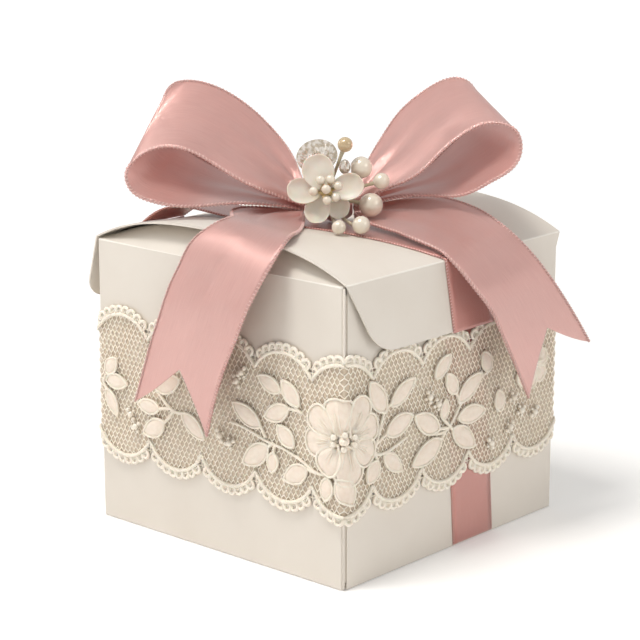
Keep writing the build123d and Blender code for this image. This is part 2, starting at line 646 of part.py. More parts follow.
# ---- build and write ------------------------------------------------------------------
def build():
    spray = [PEARL_GOLD, *PEARLS_LARGE, *PEARLS_SMALL]
    nodes = {
        "carton_walls": carton_walls(),
        "glue_tab": glue_tab(),
        "bottom_flap_south": bottom_flap(-1, 0, BOTTOM_FLAP_L, False),
        "bottom_flap_north": bottom_flap(1, 1, BOTTOM_FLAP_L, False),
        "bottom_flap_east": bottom_flap(1, 2, BOTTOM_FLAP_SIDE_L, True),
        "bottom_flap_west": bottom_flap(-1, 2, BOTTOM_FLAP_SIDE_L, True),
        "dust_flap_south": dust_flap(-1),
        "dust_flap_north": dust_flap(1),
        "lace_band": lace_band(),
        "lace_flowers": group(lace_flowers()),
        "lace_leaves": group(lace_leaves()),
        "lace_beads": group(lace_beads()),
        "ribbon_run_east": ribbon_run(1),
        "ribbon_run_west": ribbon_run(-1),
        "ribbon_run_under": ribbon_run_under(),
        "lid_panel": lid_panel(),
        "lid_flap_east": lid_flap(1),
        "lid_flap_west": lid_flap(-1),
        "ribbon_flap_east": ribbon_flap(1),
        "ribbon_flap_west": ribbon_flap(-1),
        "ribbon_run_top": ribbon_run_top(),
        "bow_loop_left": bow_loop(LEFT_LOOP),
        "bow_loop_right": bow_loop(RIGHT_LOOP),
        "bow_tail_left": bow_tail(LEFT_TAIL, LEFT_NOTCH, (0, -1, 0)),
        "bow_tail_right": bow_tail(RIGHT_TAIL, RIGHT_NOTCH, (1, 0, 0)),
        "bow_knot": bow_knot(),
        "flower_base": flower_base(),
        "stamen_cone": stamen_cone(),
        "stamen_pearls": group(stamen_pearls()),
        "spray_pearl_gold": group(pearls([PEARL_GOLD])),
        "spray_pearls_large": group(pearls(PEARLS_LARGE)),
        "spray_pearls_small": group(pearls(PEARLS_SMALL)),
        "spray_stems": group([stem(*item) for item in spray]),
        "crystal_leaf": crystal_leaf(),
        "crystal_bud": crystal_bud(),
    }
    for name in PETALS:
        nodes["flower_petal_" + name] = petal(name)
    return nodes


os.makedirs("parts", exist_ok=True)
for name, shape in build().items():
    export_step(shape, f"parts/{name}.step")
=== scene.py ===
import json
import math

import bpy
import numpy as np
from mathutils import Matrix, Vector


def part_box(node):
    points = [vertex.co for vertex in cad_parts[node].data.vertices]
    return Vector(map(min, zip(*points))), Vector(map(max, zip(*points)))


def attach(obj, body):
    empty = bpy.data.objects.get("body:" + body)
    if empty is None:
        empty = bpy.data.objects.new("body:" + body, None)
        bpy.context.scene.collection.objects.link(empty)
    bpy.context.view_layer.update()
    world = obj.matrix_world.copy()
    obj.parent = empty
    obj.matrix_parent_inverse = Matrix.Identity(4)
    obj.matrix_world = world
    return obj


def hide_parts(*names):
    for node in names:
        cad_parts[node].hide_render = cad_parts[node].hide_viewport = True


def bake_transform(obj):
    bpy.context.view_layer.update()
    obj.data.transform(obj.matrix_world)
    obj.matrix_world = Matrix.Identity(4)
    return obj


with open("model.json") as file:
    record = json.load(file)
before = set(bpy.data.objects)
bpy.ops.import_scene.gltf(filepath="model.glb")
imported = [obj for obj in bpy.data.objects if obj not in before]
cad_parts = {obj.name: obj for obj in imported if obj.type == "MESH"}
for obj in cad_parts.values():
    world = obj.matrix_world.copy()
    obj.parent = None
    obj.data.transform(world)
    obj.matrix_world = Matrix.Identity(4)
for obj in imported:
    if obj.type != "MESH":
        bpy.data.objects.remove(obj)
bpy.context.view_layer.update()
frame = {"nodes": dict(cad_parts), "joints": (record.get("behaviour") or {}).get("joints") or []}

# A wedding favour box of folded card: lace band, satin ribbon and bow, flower and pearl spray.
# Sizes here are in millimetres and are scaled to metres as each mesh is made.
# The box frame is +Z up, +X east, +Y north; the bow has a frame of its own (from_bow).

MM = 0.001


# ---- places read from the frame -------------------------------------------------
def low(node):
    return np.array(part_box(node)[0]) / MM


def high(node):
    return np.array(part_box(node)[1]) / MM


HALF = (high("carton_walls")[0] - low("carton_walls")[0]) / 2     # half the box's width
TOP_Z = high("carton_walls")[2]
CARD = high("bottom_flap_south")[2] - low("bottom_flap_south")[2]
FOLD_R = 1.0                 # folded vertical edges
JOINTS = {joint["name"]: joint for joint in frame["joints"]}


def hinge(name):
    return np.array(JOINTS[name]["pos_m"]) / MM


# ---- mesh helpers ------------------------------------------------------------------
class Mesh:
    """Collects vertices, faces and texture coordinates for one object."""

    def __init__(self):
        self.points, self.faces, self.uvs = [], [], []
        self.count = 0

    def add(self, points, faces, uv=None):
        points = np.asarray(points, float)
        self.points.append(points)
        self.faces.append(np.asarray(faces, int) + self.count)
        self.uvs.append(np.zeros((len(points), 2)) if uv is None else np.asarray(uv, float))
        self.count += len(points)

    def make(self, name, material, body=None, smooth=True, move=None):
        points = np.concatenate(self.points)
        if move is not None:
            points = move(points)
        faces = [face for block in self.faces for face in block.tolist()]
        mesh = bpy.data.meshes.new(name)
        mesh.from_pydata((points * MM).tolist(), [], faces)
        uv = np.concatenate(self.uvs)
        layer = mesh.uv_layers.new(name="UVMap")
        corners = np.zeros(len(mesh.loops), int)
        mesh.loops.foreach_get("vertex_index", corners)
        layer.data.foreach_set("uv", uv[corners].ravel())
        if smooth:
            mesh.polygons.foreach_set("use_smooth", [True] * len(mesh.polygons))
        mesh.materials.append(material)
        mesh.validate()
        piece = bpy.data.objects.new(name, mesh)
        bpy.context.scene.collection.objects.link(piece)
        if body:
            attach(piece, body)
        return piece


def grid_faces(rows, columns, wrap=False):
    """Quads of a grid of points laid out row by row; wrap joins the last column to the first."""
    last = columns if wrap else columns - 1
    i, j = np.meshgrid(np.arange(rows - 1), np.arange(last), indexing="ij")
    after = (j + 1) % columns
    quads = [i * columns + j, i * columns + after, (i + 1) * columns + after, (i + 1) * columns + j]
    return np.stack(quads, -1).reshape(-1, 4)


def normals_of(path):
    """A smoothly carried pair of unit normals along a path."""
    tangent = np.gradient(path, axis=0)
    tangent /= np.linalg.norm(tangent, axis=1)[:, None] + 1e-12
    side = np.cross(tangent[0], [0, 0, 1.0])
    if np.linalg.norm(side) < 1e-3:
        side = np.cross(tangent[0], [1.0, 0, 0])
    sides = []
    for t in tangent:
        side = side - t * (side @ t)
        side /= np.linalg.norm(side)
        sides.append(side)
    sides = np.array(sides)
    return sides, np.cross(tangent, sides)


def tube(mesh, path, radius, sides=6, closed=False):
    """Round rod along a path; radius is one number or one for each point."""
    path = np.asarray(path, float)
    if closed:
        path = np.vstack([path, path[:1]])
    radius = np.broadcast_to(np.asarray(radius, float), (len(path),)) if np.ndim(radius) == 0 or \
        len(radius) == len(path) else np.append(radius, radius[0])
    a, b = normals_of(path)
    angle = np.arange(sides) / sides * 2 * math.pi
    ring = (a[:, None] * np.cos(angle)[None, :, None] + b[:, None] * np.sin(angle)[None, :, None])
    points = path[:, None] + ring * radius[:, None, None]
    run = np.concatenate([[0], np.cumsum(np.linalg.norm(np.diff(path, axis=0), axis=1))])
    uv = np.stack(np.broadcast_arrays(run[:, None], (angle / 2 / math.pi)[None]), -1)
    faces = grid_faces(len(path), sides, wrap=True)
    mesh.add(points.reshape(-1, 3), faces, uv.reshape(-1, 2))
    if not closed:
        first = mesh.count - len(path) * sides
        last = mesh.count - sides
        mesh.faces.append(np.array([[first + k for k in range(sides)][::-1]]))
        mesh.faces.append(np.array([[last + k for k in range(sides)]]))


def ball(mesh, centre, radius, rings=10, segments=14):
    """Sphere; radius is one number or three."""
    lat = np.linspace(0, math.pi, rings + 1)[1:-1]
    lon = np.arange(segments) / segments * 2 * math.pi
    lat, lon = np.meshgrid(lat, lon, indexing="ij")
    shell = np.stack([np.sin(lat) * np.cos(lon), np.sin(lat) * np.sin(lon), np.cos(lat)], -1)
    points = np.vstack([shell.reshape(-1, 3), [[0, 0, 1], [0, 0, -1]]]) * radius + centre
    body = grid_faces(rings - 1, segments, wrap=True)
    base = (rings - 2) * segments
    top, bottom = (rings - 1) * segments, (rings - 1) * segments + 1
    caps = [[top, k, (k + 1) % segments, (k + 1) % segments] for k in range(segments)]
    caps += [[bottom, base + (k + 1) % segments, base + k, base + k] for k in range(segments)]
    start = mesh.count
    mesh.add(points, body[:, ::-1])
    mesh.faces.append(np.array([cap[:3] for cap in caps])[:, ::-1] + start)


def smooth_curve(points, knots, at):
    """Natural cubic spline through points at knots, read at other places."""
    points = np.asarray(points, float)
    n = len(points)
    h = np.diff(knots)
    system = np.eye(n)
    target = np.zeros_like(points)
    for i in range(1, n - 1):
        system[i, i - 1:i + 2] = h[i - 1], 2 * (h[i - 1] + h[i]), h[i]
        after, before = points[i + 1] - points[i], points[i] - points[i - 1]
        target[i] = 6 * (after / h[i] - before / h[i - 1])
    bend = np.linalg.solve(system, target)
    i = np.clip(np.searchsorted(knots, at, side="right") - 1, 0, n - 2)
    left, right = at - knots[i], knots[i + 1] - at
    left, right, step = left[:, None], right[:, None], h[i][:, None]
    return (bend[i] * right ** 3 + bend[i + 1] * left ** 3) / 6 / step \
        + (points[i] / step - bend[i] * step / 6) * right \
        + (points[i + 1] / step - bend[i + 1] * step / 6) * left


# ---- materials -----------------------------------------------------------------------
def rgb(red, green, blue):
    """A display colour, 0 to 255, as linear light."""
    def linear(value):
        value /= 255
        return value / 12.92 if value <= 0.04045 else ((value + 0.055) / 1.055) ** 2.4
    return (linear(red), linear(green), linear(blue), 1.0)


class Finish:
    """A Principled material with a few node shortcuts."""

    def __init__(self, name, colour, roughness, **sockets):
        self.material = bpy.data.materials.new(name)
        self.material.use_nodes = True
        self.nodes = self.material.node_tree.nodes
        self.links = self.material.node_tree.links
        self.shader = self.nodes["Principled BSDF"]
        self.shader.inputs["Base Color"].default_value = colour
        self.shader.inputs["Roughness"].default_value = roughness
        for socket, value in sockets.items():
            self.shader.inputs[socket.replace("_", " ")].default_value = value
        self.coords = self.node("ShaderNodeTexCoord")
        self.height = None

    def node(self, kind, inputs=(), **settings):
        made = self.nodes.new(kind)
        for key, value in settings.items():
            setattr(made, key, value)
        for key, value in dict(inputs).items():
            if isinstance(value, bpy.types.NodeSocket):
                self.links.new(value, made.inputs[key])
            else:
                made.inputs[key].default_value = value
        return made

    def noise(self, scale, detail=3.0, coords="Object", rough=0.5):
        made = self.node("ShaderNodeTexNoise", {"Scale": scale, "Detail": detail,
                                                "Roughness": rough,
                                                "Vector": self.coords.outputs[coords]})
        return made.outputs["Fac"]

    def mapped(self, coords="UV", scale=(1, 1, 1), turn=0.0):
        made = self.node("ShaderNodeMapping", {"Vector": self.coords.outputs[coords],
                                               "Scale": scale, "Rotation": (0, 0, turn)})
        return made.outputs["Vector"]

    def wave(self, vector, scale, distortion=0.0, direction="X"):
        made = self.node("ShaderNodeTexWave", {"Vector": vector, "Scale": scale,
                                               "Distortion": distortion},
                         bands_direction=direction)
        return made.outputs["Fac"]

    def tint(self, factor, dark, light, span=(0.3, 0.7)):
        """Base colour from dark to light as factor crosses span."""
        ramp = self.node("ShaderNodeMapRange", {"Value": factor, "From Min": span[0],
                                                "From Max": span[1]})
        mix = self.node("ShaderNodeMix", data_type="RGBA")
        self.links.new(ramp.outputs["Result"], mix.inputs["Factor"])
        mix.inputs[6].default_value = dark
        mix.inputs[7].default_value = light
        self.links.new(mix.outputs[2], self.shader.inputs["Base Color"])
        return self

    def rough(self, factor, least, most):
        ramp = self.node("ShaderNodeMapRange", {"Value": factor, "To Min": least, "To Max": most})
        self.links.new(ramp.outputs["Result"], self.shader.inputs["Roughness"])
        return self

    def bump(self, height, distance, strength=1.0):
        made = self.node("ShaderNodeBump", {"Height": height, "Distance": distance,
                                            "Strength": strength})
        if self.height is not None:
            self.links.new(self.height, made.inputs["Normal"])
        self.height = made.outputs["Normal"]
        self.links.new(self.height, self.shader.inputs["Normal"])
        return self


def card_finish(name, light, dark):
    """Pearlescent ivory card: faint mottling, fine tooth and a soft coat."""
    made = Finish(name, light, 0.42, Coat_Weight=0.12, Coat_Roughness=0.35, Sheen_Weight=0.08)
    made.tint(made.noise(45.0, 4.0), dark, light)
    made.rough(made.noise(900.0, 2.0), 0.36, 0.5)
    made.bump(made.noise(2600.0, 3.0), 0.00003, 0.35)
    made.bump(made.noise(60.0, 2.0), 0.0004, 0.1)
    return made.material


def satin_finish(name, light, dark, weave=1.0):
    """Satin: smooth floats along the ribbon, a fine weft and a soft directional gloss."""
    made = Finish(name, light, 0.3, Sheen_Weight=0.35, Sheen_Roughness=0.4, Anisotropic=0.6,
                  Specular_IOR_Level=0.8, Metallic=0.45, Subsurface_Weight=0.5,
                  Coat_Weight=0.7, Coat_Roughness=0.24)
    made.shader.inputs["Subsurface Scale"].default_value = 0.0012
    made.shader.inputs["Subsurface Radius"].default_value = (1.0, 0.75, 0.7)
    made.shader.inputs["Sheen Tint"].default_value = rgb(255, 226, 220)
    threads = made.node("ShaderNodeTexNoise", {"Vector": made.mapped(scale=(0.12, 3.2, 1)),
                                               "Scale": 1.0, "Detail": 3.0})
    made.tint(threads.outputs["Fac"], dark, light)
    made.rough(threads.outputs["Fac"], 0.25, 0.36)
    weft = made.wave(made.mapped(scale=(1, 1, 1), turn=0.35), 5.2 * weave, 0.6)
    made.bump(weft, 0.00003, 0.35)
    made.bump(threads.outputs["Fac"], 0.00006, 0.3)
    return made.material


def thread_finish(name, light, dark, scale=1.0, bump=0.6):
    """Embroidery thread: fine parallel strands across the piece."""
    made = Finish(name, light, 0.62, Sheen_Weight=0.3, Sheen_Roughness=0.5,
                  Subsurface_Weight=0.05)
    made.shader.inputs["Subsurface Scale"].default_value = 0.001
    made.tint(made.noise(700.0, 3.0), dark, light)
    made.bump(made.wave(made.mapped(scale=(1, 1, 1)), scale, 0.5), 0.00012, bump)
    return made.material


def pearl_finish(name, light, dark):
    """Pearl lustre: a soft body under a clear glossy coat, with a faint colour play."""
    made = Finish(name, light, 0.26, Coat_Weight=0.8, Coat_Roughness=0.08, Sheen_Weight=0.2,
                  Metallic=0.12, Specular_IOR_Level=0.6)
    made.tint(made.noise(260.0, 3.0), dark, light)
    made.bump(made.noise(900.0, 2.0), 0.00003, 0.3)
    return made.material


CARTON_CARD = card_finish("carton_card", rgb(221, 213, 202), rgb(216, 207, 195))
LID_CARD = card_finish("lid_card", rgb(224, 216, 205), rgb(219, 210, 198))
# Fold card: the same ivory card painted lighter, a painted highlight along the rounded folds.
FOLD_HIGHLIGHT_CARD = card_finish("card_fold_highlight", rgb(240, 235, 226), rgb(232, 225, 215))
CARD_INSIDE = card_finish("card_inside", rgb(238, 228, 212), rgb(232, 221, 204))
WIDE_SATIN = satin_finish("wide_satin", rgb(216, 169, 161), rgb(207, 158, 150))
NARROW_SATIN = satin_finish("narrow_satin", rgb(197, 136, 126), rgb(190, 127, 117), 1.4)
STITCH = thread_finish("ribbon_stitch", rgb(240, 205, 198), rgb(226, 180, 172), 4.0)
NET = thread_finish("lace_net", rgb(253, 245, 231), rgb(246, 236, 219), 3.0, 0.2)
CORD = thread_finish("lace_cord", rgb(255, 246, 231), rgb(250, 238, 220), 2.0, 0.4)
STITCHED = thread_finish("lace_stitch", rgb(255, 240, 223), rgb(248, 230, 211), 3.2, 0.45)
# Painted shade: a warm half-clear sheet that darkens the card and ribbon seen between the net's
# threads.
NET_SHADE = Finish("lace_net_shade", rgb(240, 220, 194), 0.85, Alpha=0.55, Sheen_Weight=0.2)
NET_SHADE.tint(NET_SHADE.noise(120.0), rgb(235, 213, 186), rgb(244, 226, 202))
NET_SHADE.bump(NET_SHADE.wave(NET_SHADE.mapped(), 2.0), 0.00005, 0.3)
NET_SHADE = NET_SHADE.material
LACE_PEARL = pearl_finish("lace_pearl", rgb(243, 236, 222), rgb(232, 220, 202))
PEARL = pearl_finish("pearl", rgb(232, 222, 205), rgb(220, 206, 186))
GOLD_PEARL = pearl_finish("gold_pearl", rgb(206, 184, 146), rgb(184, 160, 122))
WIRE = thread_finish("spray_wire", rgb(216, 202, 172), rgb(194, 178, 146), 3.0)
GOLD_THREAD = thread_finish("gold_thread", rgb(222, 196, 132), rgb(198, 168, 104), 3.0)

PETAL = Finish("petal", rgb(236, 230, 219), 0.4, Subsurface_Weight=0.25, Coat_Weight=0.15,
               Coat_Roughness=0.3)
PETAL.shader.inputs["Subsurface Scale"].default_value = 0.0015
PETAL.tint(PETAL.noise(180.0, 3.0), rgb(216, 206, 190), rgb(228, 221, 208))
PETAL.bump(PETAL.noise(420.0, 2.0), 0.0001, 0.15)
PETAL = PETAL.material

CRYSTAL = Finish("crystal", rgb(236, 228, 216), 0.12, Transmission_Weight=0.35, IOR=1.6,
                 Coat_Weight=1.0, Coat_Roughness=0.04, Metallic=0.25)
CRYSTAL.tint(CRYSTAL.noise(900.0, 2.0), rgb(196, 182, 160), rgb(250, 244, 236), (0.42, 0.6))
CRYSTAL.bump(CRYSTAL.noise(1500.0, 2.0), 0.00008, 0.6)
CRYSTAL = CRYSTAL.material

# The floor glows a little more with distance, so that the background stays white.
FLOOR = Finish("floor", rgb(250, 249, 247), 0.9, Emission_Color=(1, 1, 1, 1))
FLOOR.tint(FLOOR.noise(3.0), rgb(249, 248, 246), rgb(251, 250, 249))
far = FLOOR.node("ShaderNodeVectorMath", {0: FLOOR.coords.outputs["Object"]}, operation="LENGTH")
glow = FLOOR.node("ShaderNodeMapRange", {"Value": far.outputs["Value"], "From Min": 0.25,
                                         "From Max": 1.0, "To Min": 0.1, "To Max": 0.5})
FLOOR.links.new(glow.outputs["Result"], FLOOR.shader.inputs["Emission Strength"])
FLOOR = FLOOR.material


# ---- card: the CAD nodes stay ---------------------------------------------------------
def paint(node, material):
    piece = frame["nodes"][node]
    if not piece.material_slots:
        piece.data.materials.append(material)
    for slot in piece.material_slots:
        slot.material = material


for node in ("carton_walls", "glue_tab"):
    paint(node, CARTON_CARD)
for node in ("lid_panel", "lid_flap_east", "lid_flap_west"):
    paint(node, LID_CARD)
for side in ("south", "north", "east", "west"):
    paint("bottom_flap_" + side, CARD_INSIDE)
for side in ("south", "north"):
    paint("dust_flap_" + side, CARTON_CARD)

LID_RISE, LID_DIP = 8.5, 4.5
FOLD_X, FOLD_Z = abs(hinge("flap_east_fold")[0]), hinge("flap_east_fold")[2]


def lid_height(x, y):
    """Underside of the arched lid panel."""
    middle = (1 - (y / HALF) ** 2) ** 2
    return FOLD_Z + (LID_RISE - LID_DIP * middle) * (1 - np.minimum(1, np.abs(x) / FOLD_X) ** 3)


def crease(name, material, outward, pivot, along, start, finish, steps=8):
    """Rounded outside of a fold, turning about a pivot line from one card's face to the other's.

    along lists places on the pivot line; start and finish give the turn at each, in radians
    up from the fold's outward direction."""
    mesh = Mesh()
    turn = np.linspace(0, 1, steps)[None, :]
    begin, end = start(along)[:, None], finish(along)[:, None]
    turn = begin + (end - begin) * turn
    point = pivot(along)[:, None]
    rim = point + CARD * (np.cos(turn)[..., None] * outward + np.sin(turn)[..., None] * UP)
    rows = np.concatenate([rim, point], axis=1)
    uv = np.stack(np.broadcast_arrays(along[:, None], np.arange(steps + 1)[None, :] * 0.1), -1)
    mesh.add(rows.reshape(-1, 3), grid_faces(len(along), steps + 1, wrap=True), uv.reshape(-1, 2))
    mesh.faces.append(np.array([list(range(steps + 1))[::-1]]))
    mesh.faces.append(np.array([list(range(mesh.count - steps - 1, mesh.count))]))
    piece = mesh.make(name, material, smooth=True)
    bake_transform(piece)


FLARE = {1: math.radians(6), -1: math.radians(18)}
DUST_BOW, DUST_NEST = 10.0, 0.9
UP = np.array([0, 0, 1.0])


def lid_tilt(y):
    """Turn of the lid's upper face at its end folds."""
    slope = (LID_RISE - LID_DIP * (1 - (y / HALF) ** 2) ** 2) * 3 / FOLD_X
    return math.pi / 2 - np.arctan(slope)


def dust_tilt(x):
    """Turn of a dust flap's upper face at its fold."""
    rise = LID_RISE * (1 - (np.abs(x) / FOLD_X) ** 3)
    return math.pi / 2 - np.arctan(2 * DUST_NEST * rise / DUST_BOW)


# The fold strips below use the lighter fold card: a painted highlight along each crease.
for name, side in (("east", 1), ("west", -1)):
    ys = np.linspace(low("lid_flap_" + name)[1], high("lid_flap_" + name)[1], 41)
    crease("lid_crease_" + name, FOLD_HIGHLIGHT_CARD, np.array([side, 0, 0]),
           lambda y: np.stack([0 * y + side * FOLD_X, y, 0 * y + FOLD_Z], -1),
           ys, lid_tilt, lambda y: 0 * y + FLARE[side])

for name, side in (("south", -1), ("north", 1)):
    edge, height = hinge(f"dust_{name}_fold")[1:]
    xs = np.linspace(low("dust_flap_" + name)[0], high("dust_flap_" + name)[0], 41)
    crease("dust_crease_" + name, FOLD_HIGHLIGHT_CARD, np.array([0, side, 0]),
           lambda x: np.stack([x, 0 * x + edge, 0 * x + height], -1), xs, np.zeros_like, dust_tilt)


# ---- satin ribbons ---------------------------------------------------------------------
def shell(mesh, sheet, thick, uv):
    """Closes a grid of points (rows, columns, 3) into a sheet of real thickness."""
    rows, columns = sheet.shape[:2]
    along, across = np.gradient(sheet, axis=0), np.gradient(sheet, axis=1)
    lift = np.cross(along, across)
    lift /= np.linalg.norm(lift, axis=2, keepdims=True) + 1e-12
    top, bottom = sheet + lift * thick / 2, sheet - lift * thick / 2
    loop = np.concatenate([top, bottom[:, ::-1]], axis=1)
    uvs = np.concatenate([uv, uv[:, ::-1]], axis=1)
    mesh.add(loop.reshape(-1, 3), grid_faces(rows, 2 * columns, wrap=True), uvs.reshape(-1, 2))
    for row, way in ((0, -1), (rows - 1, 1)):
        start = mesh.count - rows * 2 * columns + row * 2 * columns
        far = start + 2 * columns - 1
        quads = [[start + k, start + k + 1, far - 1 - k, far - k][::way]
                 for k in range(columns - 1)]
        mesh.faces.append(np.array(quads))
    return lift


def stitch_edge(cord, dots, line, lift, inward, radius, pitch):
    """Hemmed edge: a rolled cord with a light stitch over it at every pitch."""
    tube(cord, line, radius, sides=6)
    run = np.concatenate([[0], np.cumsum(np.linalg.norm(np.diff(line, axis=0), axis=1))])
    count = max(2, int(run[-1] / pitch))
    for at in (np.arange(count) + 0.5) * run[-1] / count:
        spot = np.array([np.interp(at, run, line[:, k]) for k in range(3)])
        up = np.array([np.interp(at, run, lift[:, k]) for k in range(3)])
        across = np.array([np.interp(at, run, inward[:, k]) for k in range(3)])
        ahead = np.cross(up, across)
        lean = across * 0.85 + ahead * 0.45
        half = lean / np.linalg.norm(lean) * radius * 1.5
        thread = [radius * part for part in (0.3, 0.55, 0.62, 0.52, 0.25)]
        for rise in (up * radius, -up * radius):
            tube(dots, [spot - half * 0.9, spot - half * 0.55 + rise * 0.95, spot + rise * 1.25,
                        spot + half * 0.9 + rise * 0.8, spot + half * 1.35], thread, sides=5)


def ribbon(name, sheet, thick, satin, edge, pitch, finish):
    """A satin ribbon from its grid of points, with both edges hemmed; finish places each piece."""
    run = np.linalg.norm(np.diff(sheet.mean(axis=1), axis=0), axis=1)
    length = np.concatenate([[0], np.cumsum(run)])
    width = np.linalg.norm(np.diff(sheet, axis=1), axis=2).sum(axis=1).max()
    uv = np.stack(np.broadcast_arrays(length[:, None],
                                      np.linspace(0, width, sheet.shape[1])[None, :]), -1)
    body, cord, dots = Mesh(), Mesh(), Mesh()
    lift = shell(body, sheet, thick, uv)
    for column, inner in ((0, 1), (-1, -2)):
        inward = sheet[:, inner] - sheet[:, column]
        inward /= np.linalg.norm(inward, axis=1)[:, None]
        stitch_edge(cord, dots, sheet[:, column] + inward * edge * 0.6, lift[:, column], inward,
                    edge, pitch)
    pieces = [body.make(name, satin), cord.make(name + "_hem", satin),
              dots.make(name + "_stitches", STITCH)]
    for piece in pieces:
        finish(piece)
    return pieces, length[-1], width


def sewn(rungs, place, steps=150, columns=25, gather=(), notch=None):
    """Grid of points of a wide ribbon through its rungs, gathered where it enters the knot."""
    first = np.array([place(a) for a, _ in rungs])
    second = np.array([place(b) for _, b in rungs])
    mids = (first + second) / 2
    knots = np.concatenate([[0], np.cumsum(np.linalg.norm(np.diff(mids, axis=0), axis=1))])
    total = knots[-1]
    knots = knots / total

    def surface(t, v):
        """Points for matching arrays of length share t and width share v."""
        a, b = smooth_curve(first, knots, t), smooth_curve(second, knots, t)
        return a + (b - a) * v[:, None]

    v = np.linspace(0, 1, columns)
    t = np.linspace(0, 1, steps)
    ends = np.ones(columns)
    if notch is not None:
        tt, vv = np.meshgrid(np.linspace(0.5, 1, 200), np.linspace(0.2, 0.8, 61), indexing="ij")
        gap = np.linalg.norm(surface(tt.ravel(), vv.ravel()) - np.array(place(notch)), axis=1)
        nearest = gap.argmin()
        t_n, v_n = tt.ravel()[nearest], vv.ravel()[nearest]
        left = np.linspace(0, v_n, columns // 2 + 1)
        v = np.concatenate([left, np.linspace(v_n, 1, columns - len(left) + 1)[1:]])
        ends = 1 - (1 - t_n) * np.where(v < v_n, v / v_n, (1 - v) / (1 - v_n))
    tt = t[:, None] * ends[None, :]
    vv = np.broadcast_to(v[None, :], tt.shape)
    sheet = surface(tt.ravel(), vv.ravel()).reshape(steps, columns, 3)
    along = np.gradient(sheet, axis=0)
    across = sheet[:, -1:] - sheet[:, :1]
    lift = np.cross(along, np.broadcast_to(across, along.shape))
    lift /= np.linalg.norm(lift, axis=2, keepdims=True) + 1e-12
    wave = np.zeros(tt.shape)
    for at_end, reach, depth, count, phase in gather:
        near = np.exp(-np.abs(tt - at_end) * total / reach)
        fan = 1 + 0.25 * (1 - near)
        wave += depth * near * np.cos(2 * math.pi * count * (vv - 0.5) * fan + phase)
        wave += depth * 0.35 * near * np.cos(2 * math.pi * (count * 1.9) * vv + 2.1 * phase)
    return sheet + lift * wave[..., None], total


BOW_TURN = math.radians(42)


def from_bow(point):
    """Bow frame (x right, y back, z up) to the box frame."""
    x, y, z = point
    cos, sin = math.cos(BOW_TURN), math.sin(BOW_TURN)
    return np.array([x * cos - y * sin, x * sin + y * cos, z])


# Measured rungs across the wide ribbon, back edge then front edge, in the bow's frame.
LEFT_LOOP = (((-7.4, -3, 102.5), (-7.4, -7, 99.5)), ((-10.5, 5, 111), (-15.5, -9, 102.8)),
             ((-16.5, 11, 119), (-25, -13, 107.5)), ((-25, 13, 127), (-35, -13, 113.5)),
             ((-35, 13, 133), (-44.5, -13, 118)), ((-43.5, 11, 135), (-53.5, -14, 117.5)),
             ((-49, 6, 133), (-59.5, -16, 113)), ((-50.5, 2, 127), (-60.3, -18, 109.5)),
             ((-49.5, 3, 120), (-58, -19, 105.5)), ((-45, 7, 115), (-51, -19, 102.5)),
             ((-36.5, 9, 109.5), (-41, -17, 101)), ((-27.5, 9, 105), (-30.5, -14, 101.3)),
             ((-18.5, 5, 102), (-20, -10, 100.3)), ((-7.4, -3.5, 100.5), (-7.4, -6, 98)))
RIGHT_LOOP = (((7.4, -3, 102.5), (7.4, -7, 99.5)), ((12.5, 7, 112), (18, -9, 105)),
              ((16.5, 12, 117.5), (25, -13, 109)), ((22.5, 14, 125.5), (32.5, -14, 116)),
              ((29, 14, 131), (38, -14, 121)), ((36, 13, 135), (44.5, -15, 125)),
              ((41, 10, 135.5), (50, -17, 126)), ((44.5, 7, 132.5), (55, -19, 124)),
              ((45.5, 7, 128), (56.5, -20, 119.5)), ((44.5, 9, 122), (54.5, -21, 114)),
              ((40, 12, 117), (48, -19, 109)), ((33, 11, 110.5), (39, -15, 104)),
              ((25.5, 8, 105.5), (29, -9, 103)), ((16, 2, 102.5), (17, -6, 101)),
              ((7.4, -3.5, 100.5), (7.4, -6, 98)))
# Rungs of the tails, left or front edge then right or back edge, in the box frame.
LEFT_TAIL = (((-2.2, -9.3, 96.6), (0.2, -11.8, 96.8)), ((-13, -17.5, 98), (5, -17, 96.2)),
             ((-7.5, -35, 99), (20, -36.5, 98)), ((-1, -48.9, 99.6), (27.6, -49.5, 98.2)),
             ((-4.6, -53.3, 95.8), (28.3, -54.4, 94.6)), ((-8.6, -55.5, 88.1), (25.7, -58, 87)),
             ((-11.3, -57.5, 81), (22.5, -60, 79.5)), ((-14.3, -58.5, 72.5), (19.3, -60.5, 72)),
             ((-18, -58.5, 64), (15.2, -60.5, 63.8)), ((-22, -58.5, 53.5), (9.7, -59.5, 53)),
             ((-26.2, -58, 43.5), (4.4, -58.5, 38.5)))
LEFT_NOTCH = (-5.7, -59, 57.4)
RIGHT_TAIL = (((11.7, -1.6, 96.6), (9.7, 0.7, 97)), ((20.5, -4.5, 95.6), (16, 14.5, 100)),
              ((31, -5.5, 95), (25, 21.5, 101)), ((39.5, -6.5, 93.9), (34, 22, 100.4)),
              ((46, -5.5, 92.2), (42, 22, 98.7)), ((51.5, -6.3, 90.4), (50.5, 21.5, 95.4)),
              ((56, -5, 86), (55.5, 24, 90.7)), ((59, -2.5, 81), (59, 27, 85.6)),
              ((60.8, 1.5, 75.5), (61, 30.5, 80.5)), ((61.2, 7, 67), (62.5, 35.5, 73.8)),
              ((61, 13, 58), (63.5, 41.5, 66)), ((60, 23.1, 43.3), (64, 48.6, 56.8)))
RIGHT_NOTCH = (62, 28.2, 65)
BOW_T, HEM, HEM_PITCH = 0.4, 0.34, 1.15


def on_lid(piece):
    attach(piece, "lid")


def over_east_fold(piece):
    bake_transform(piece)


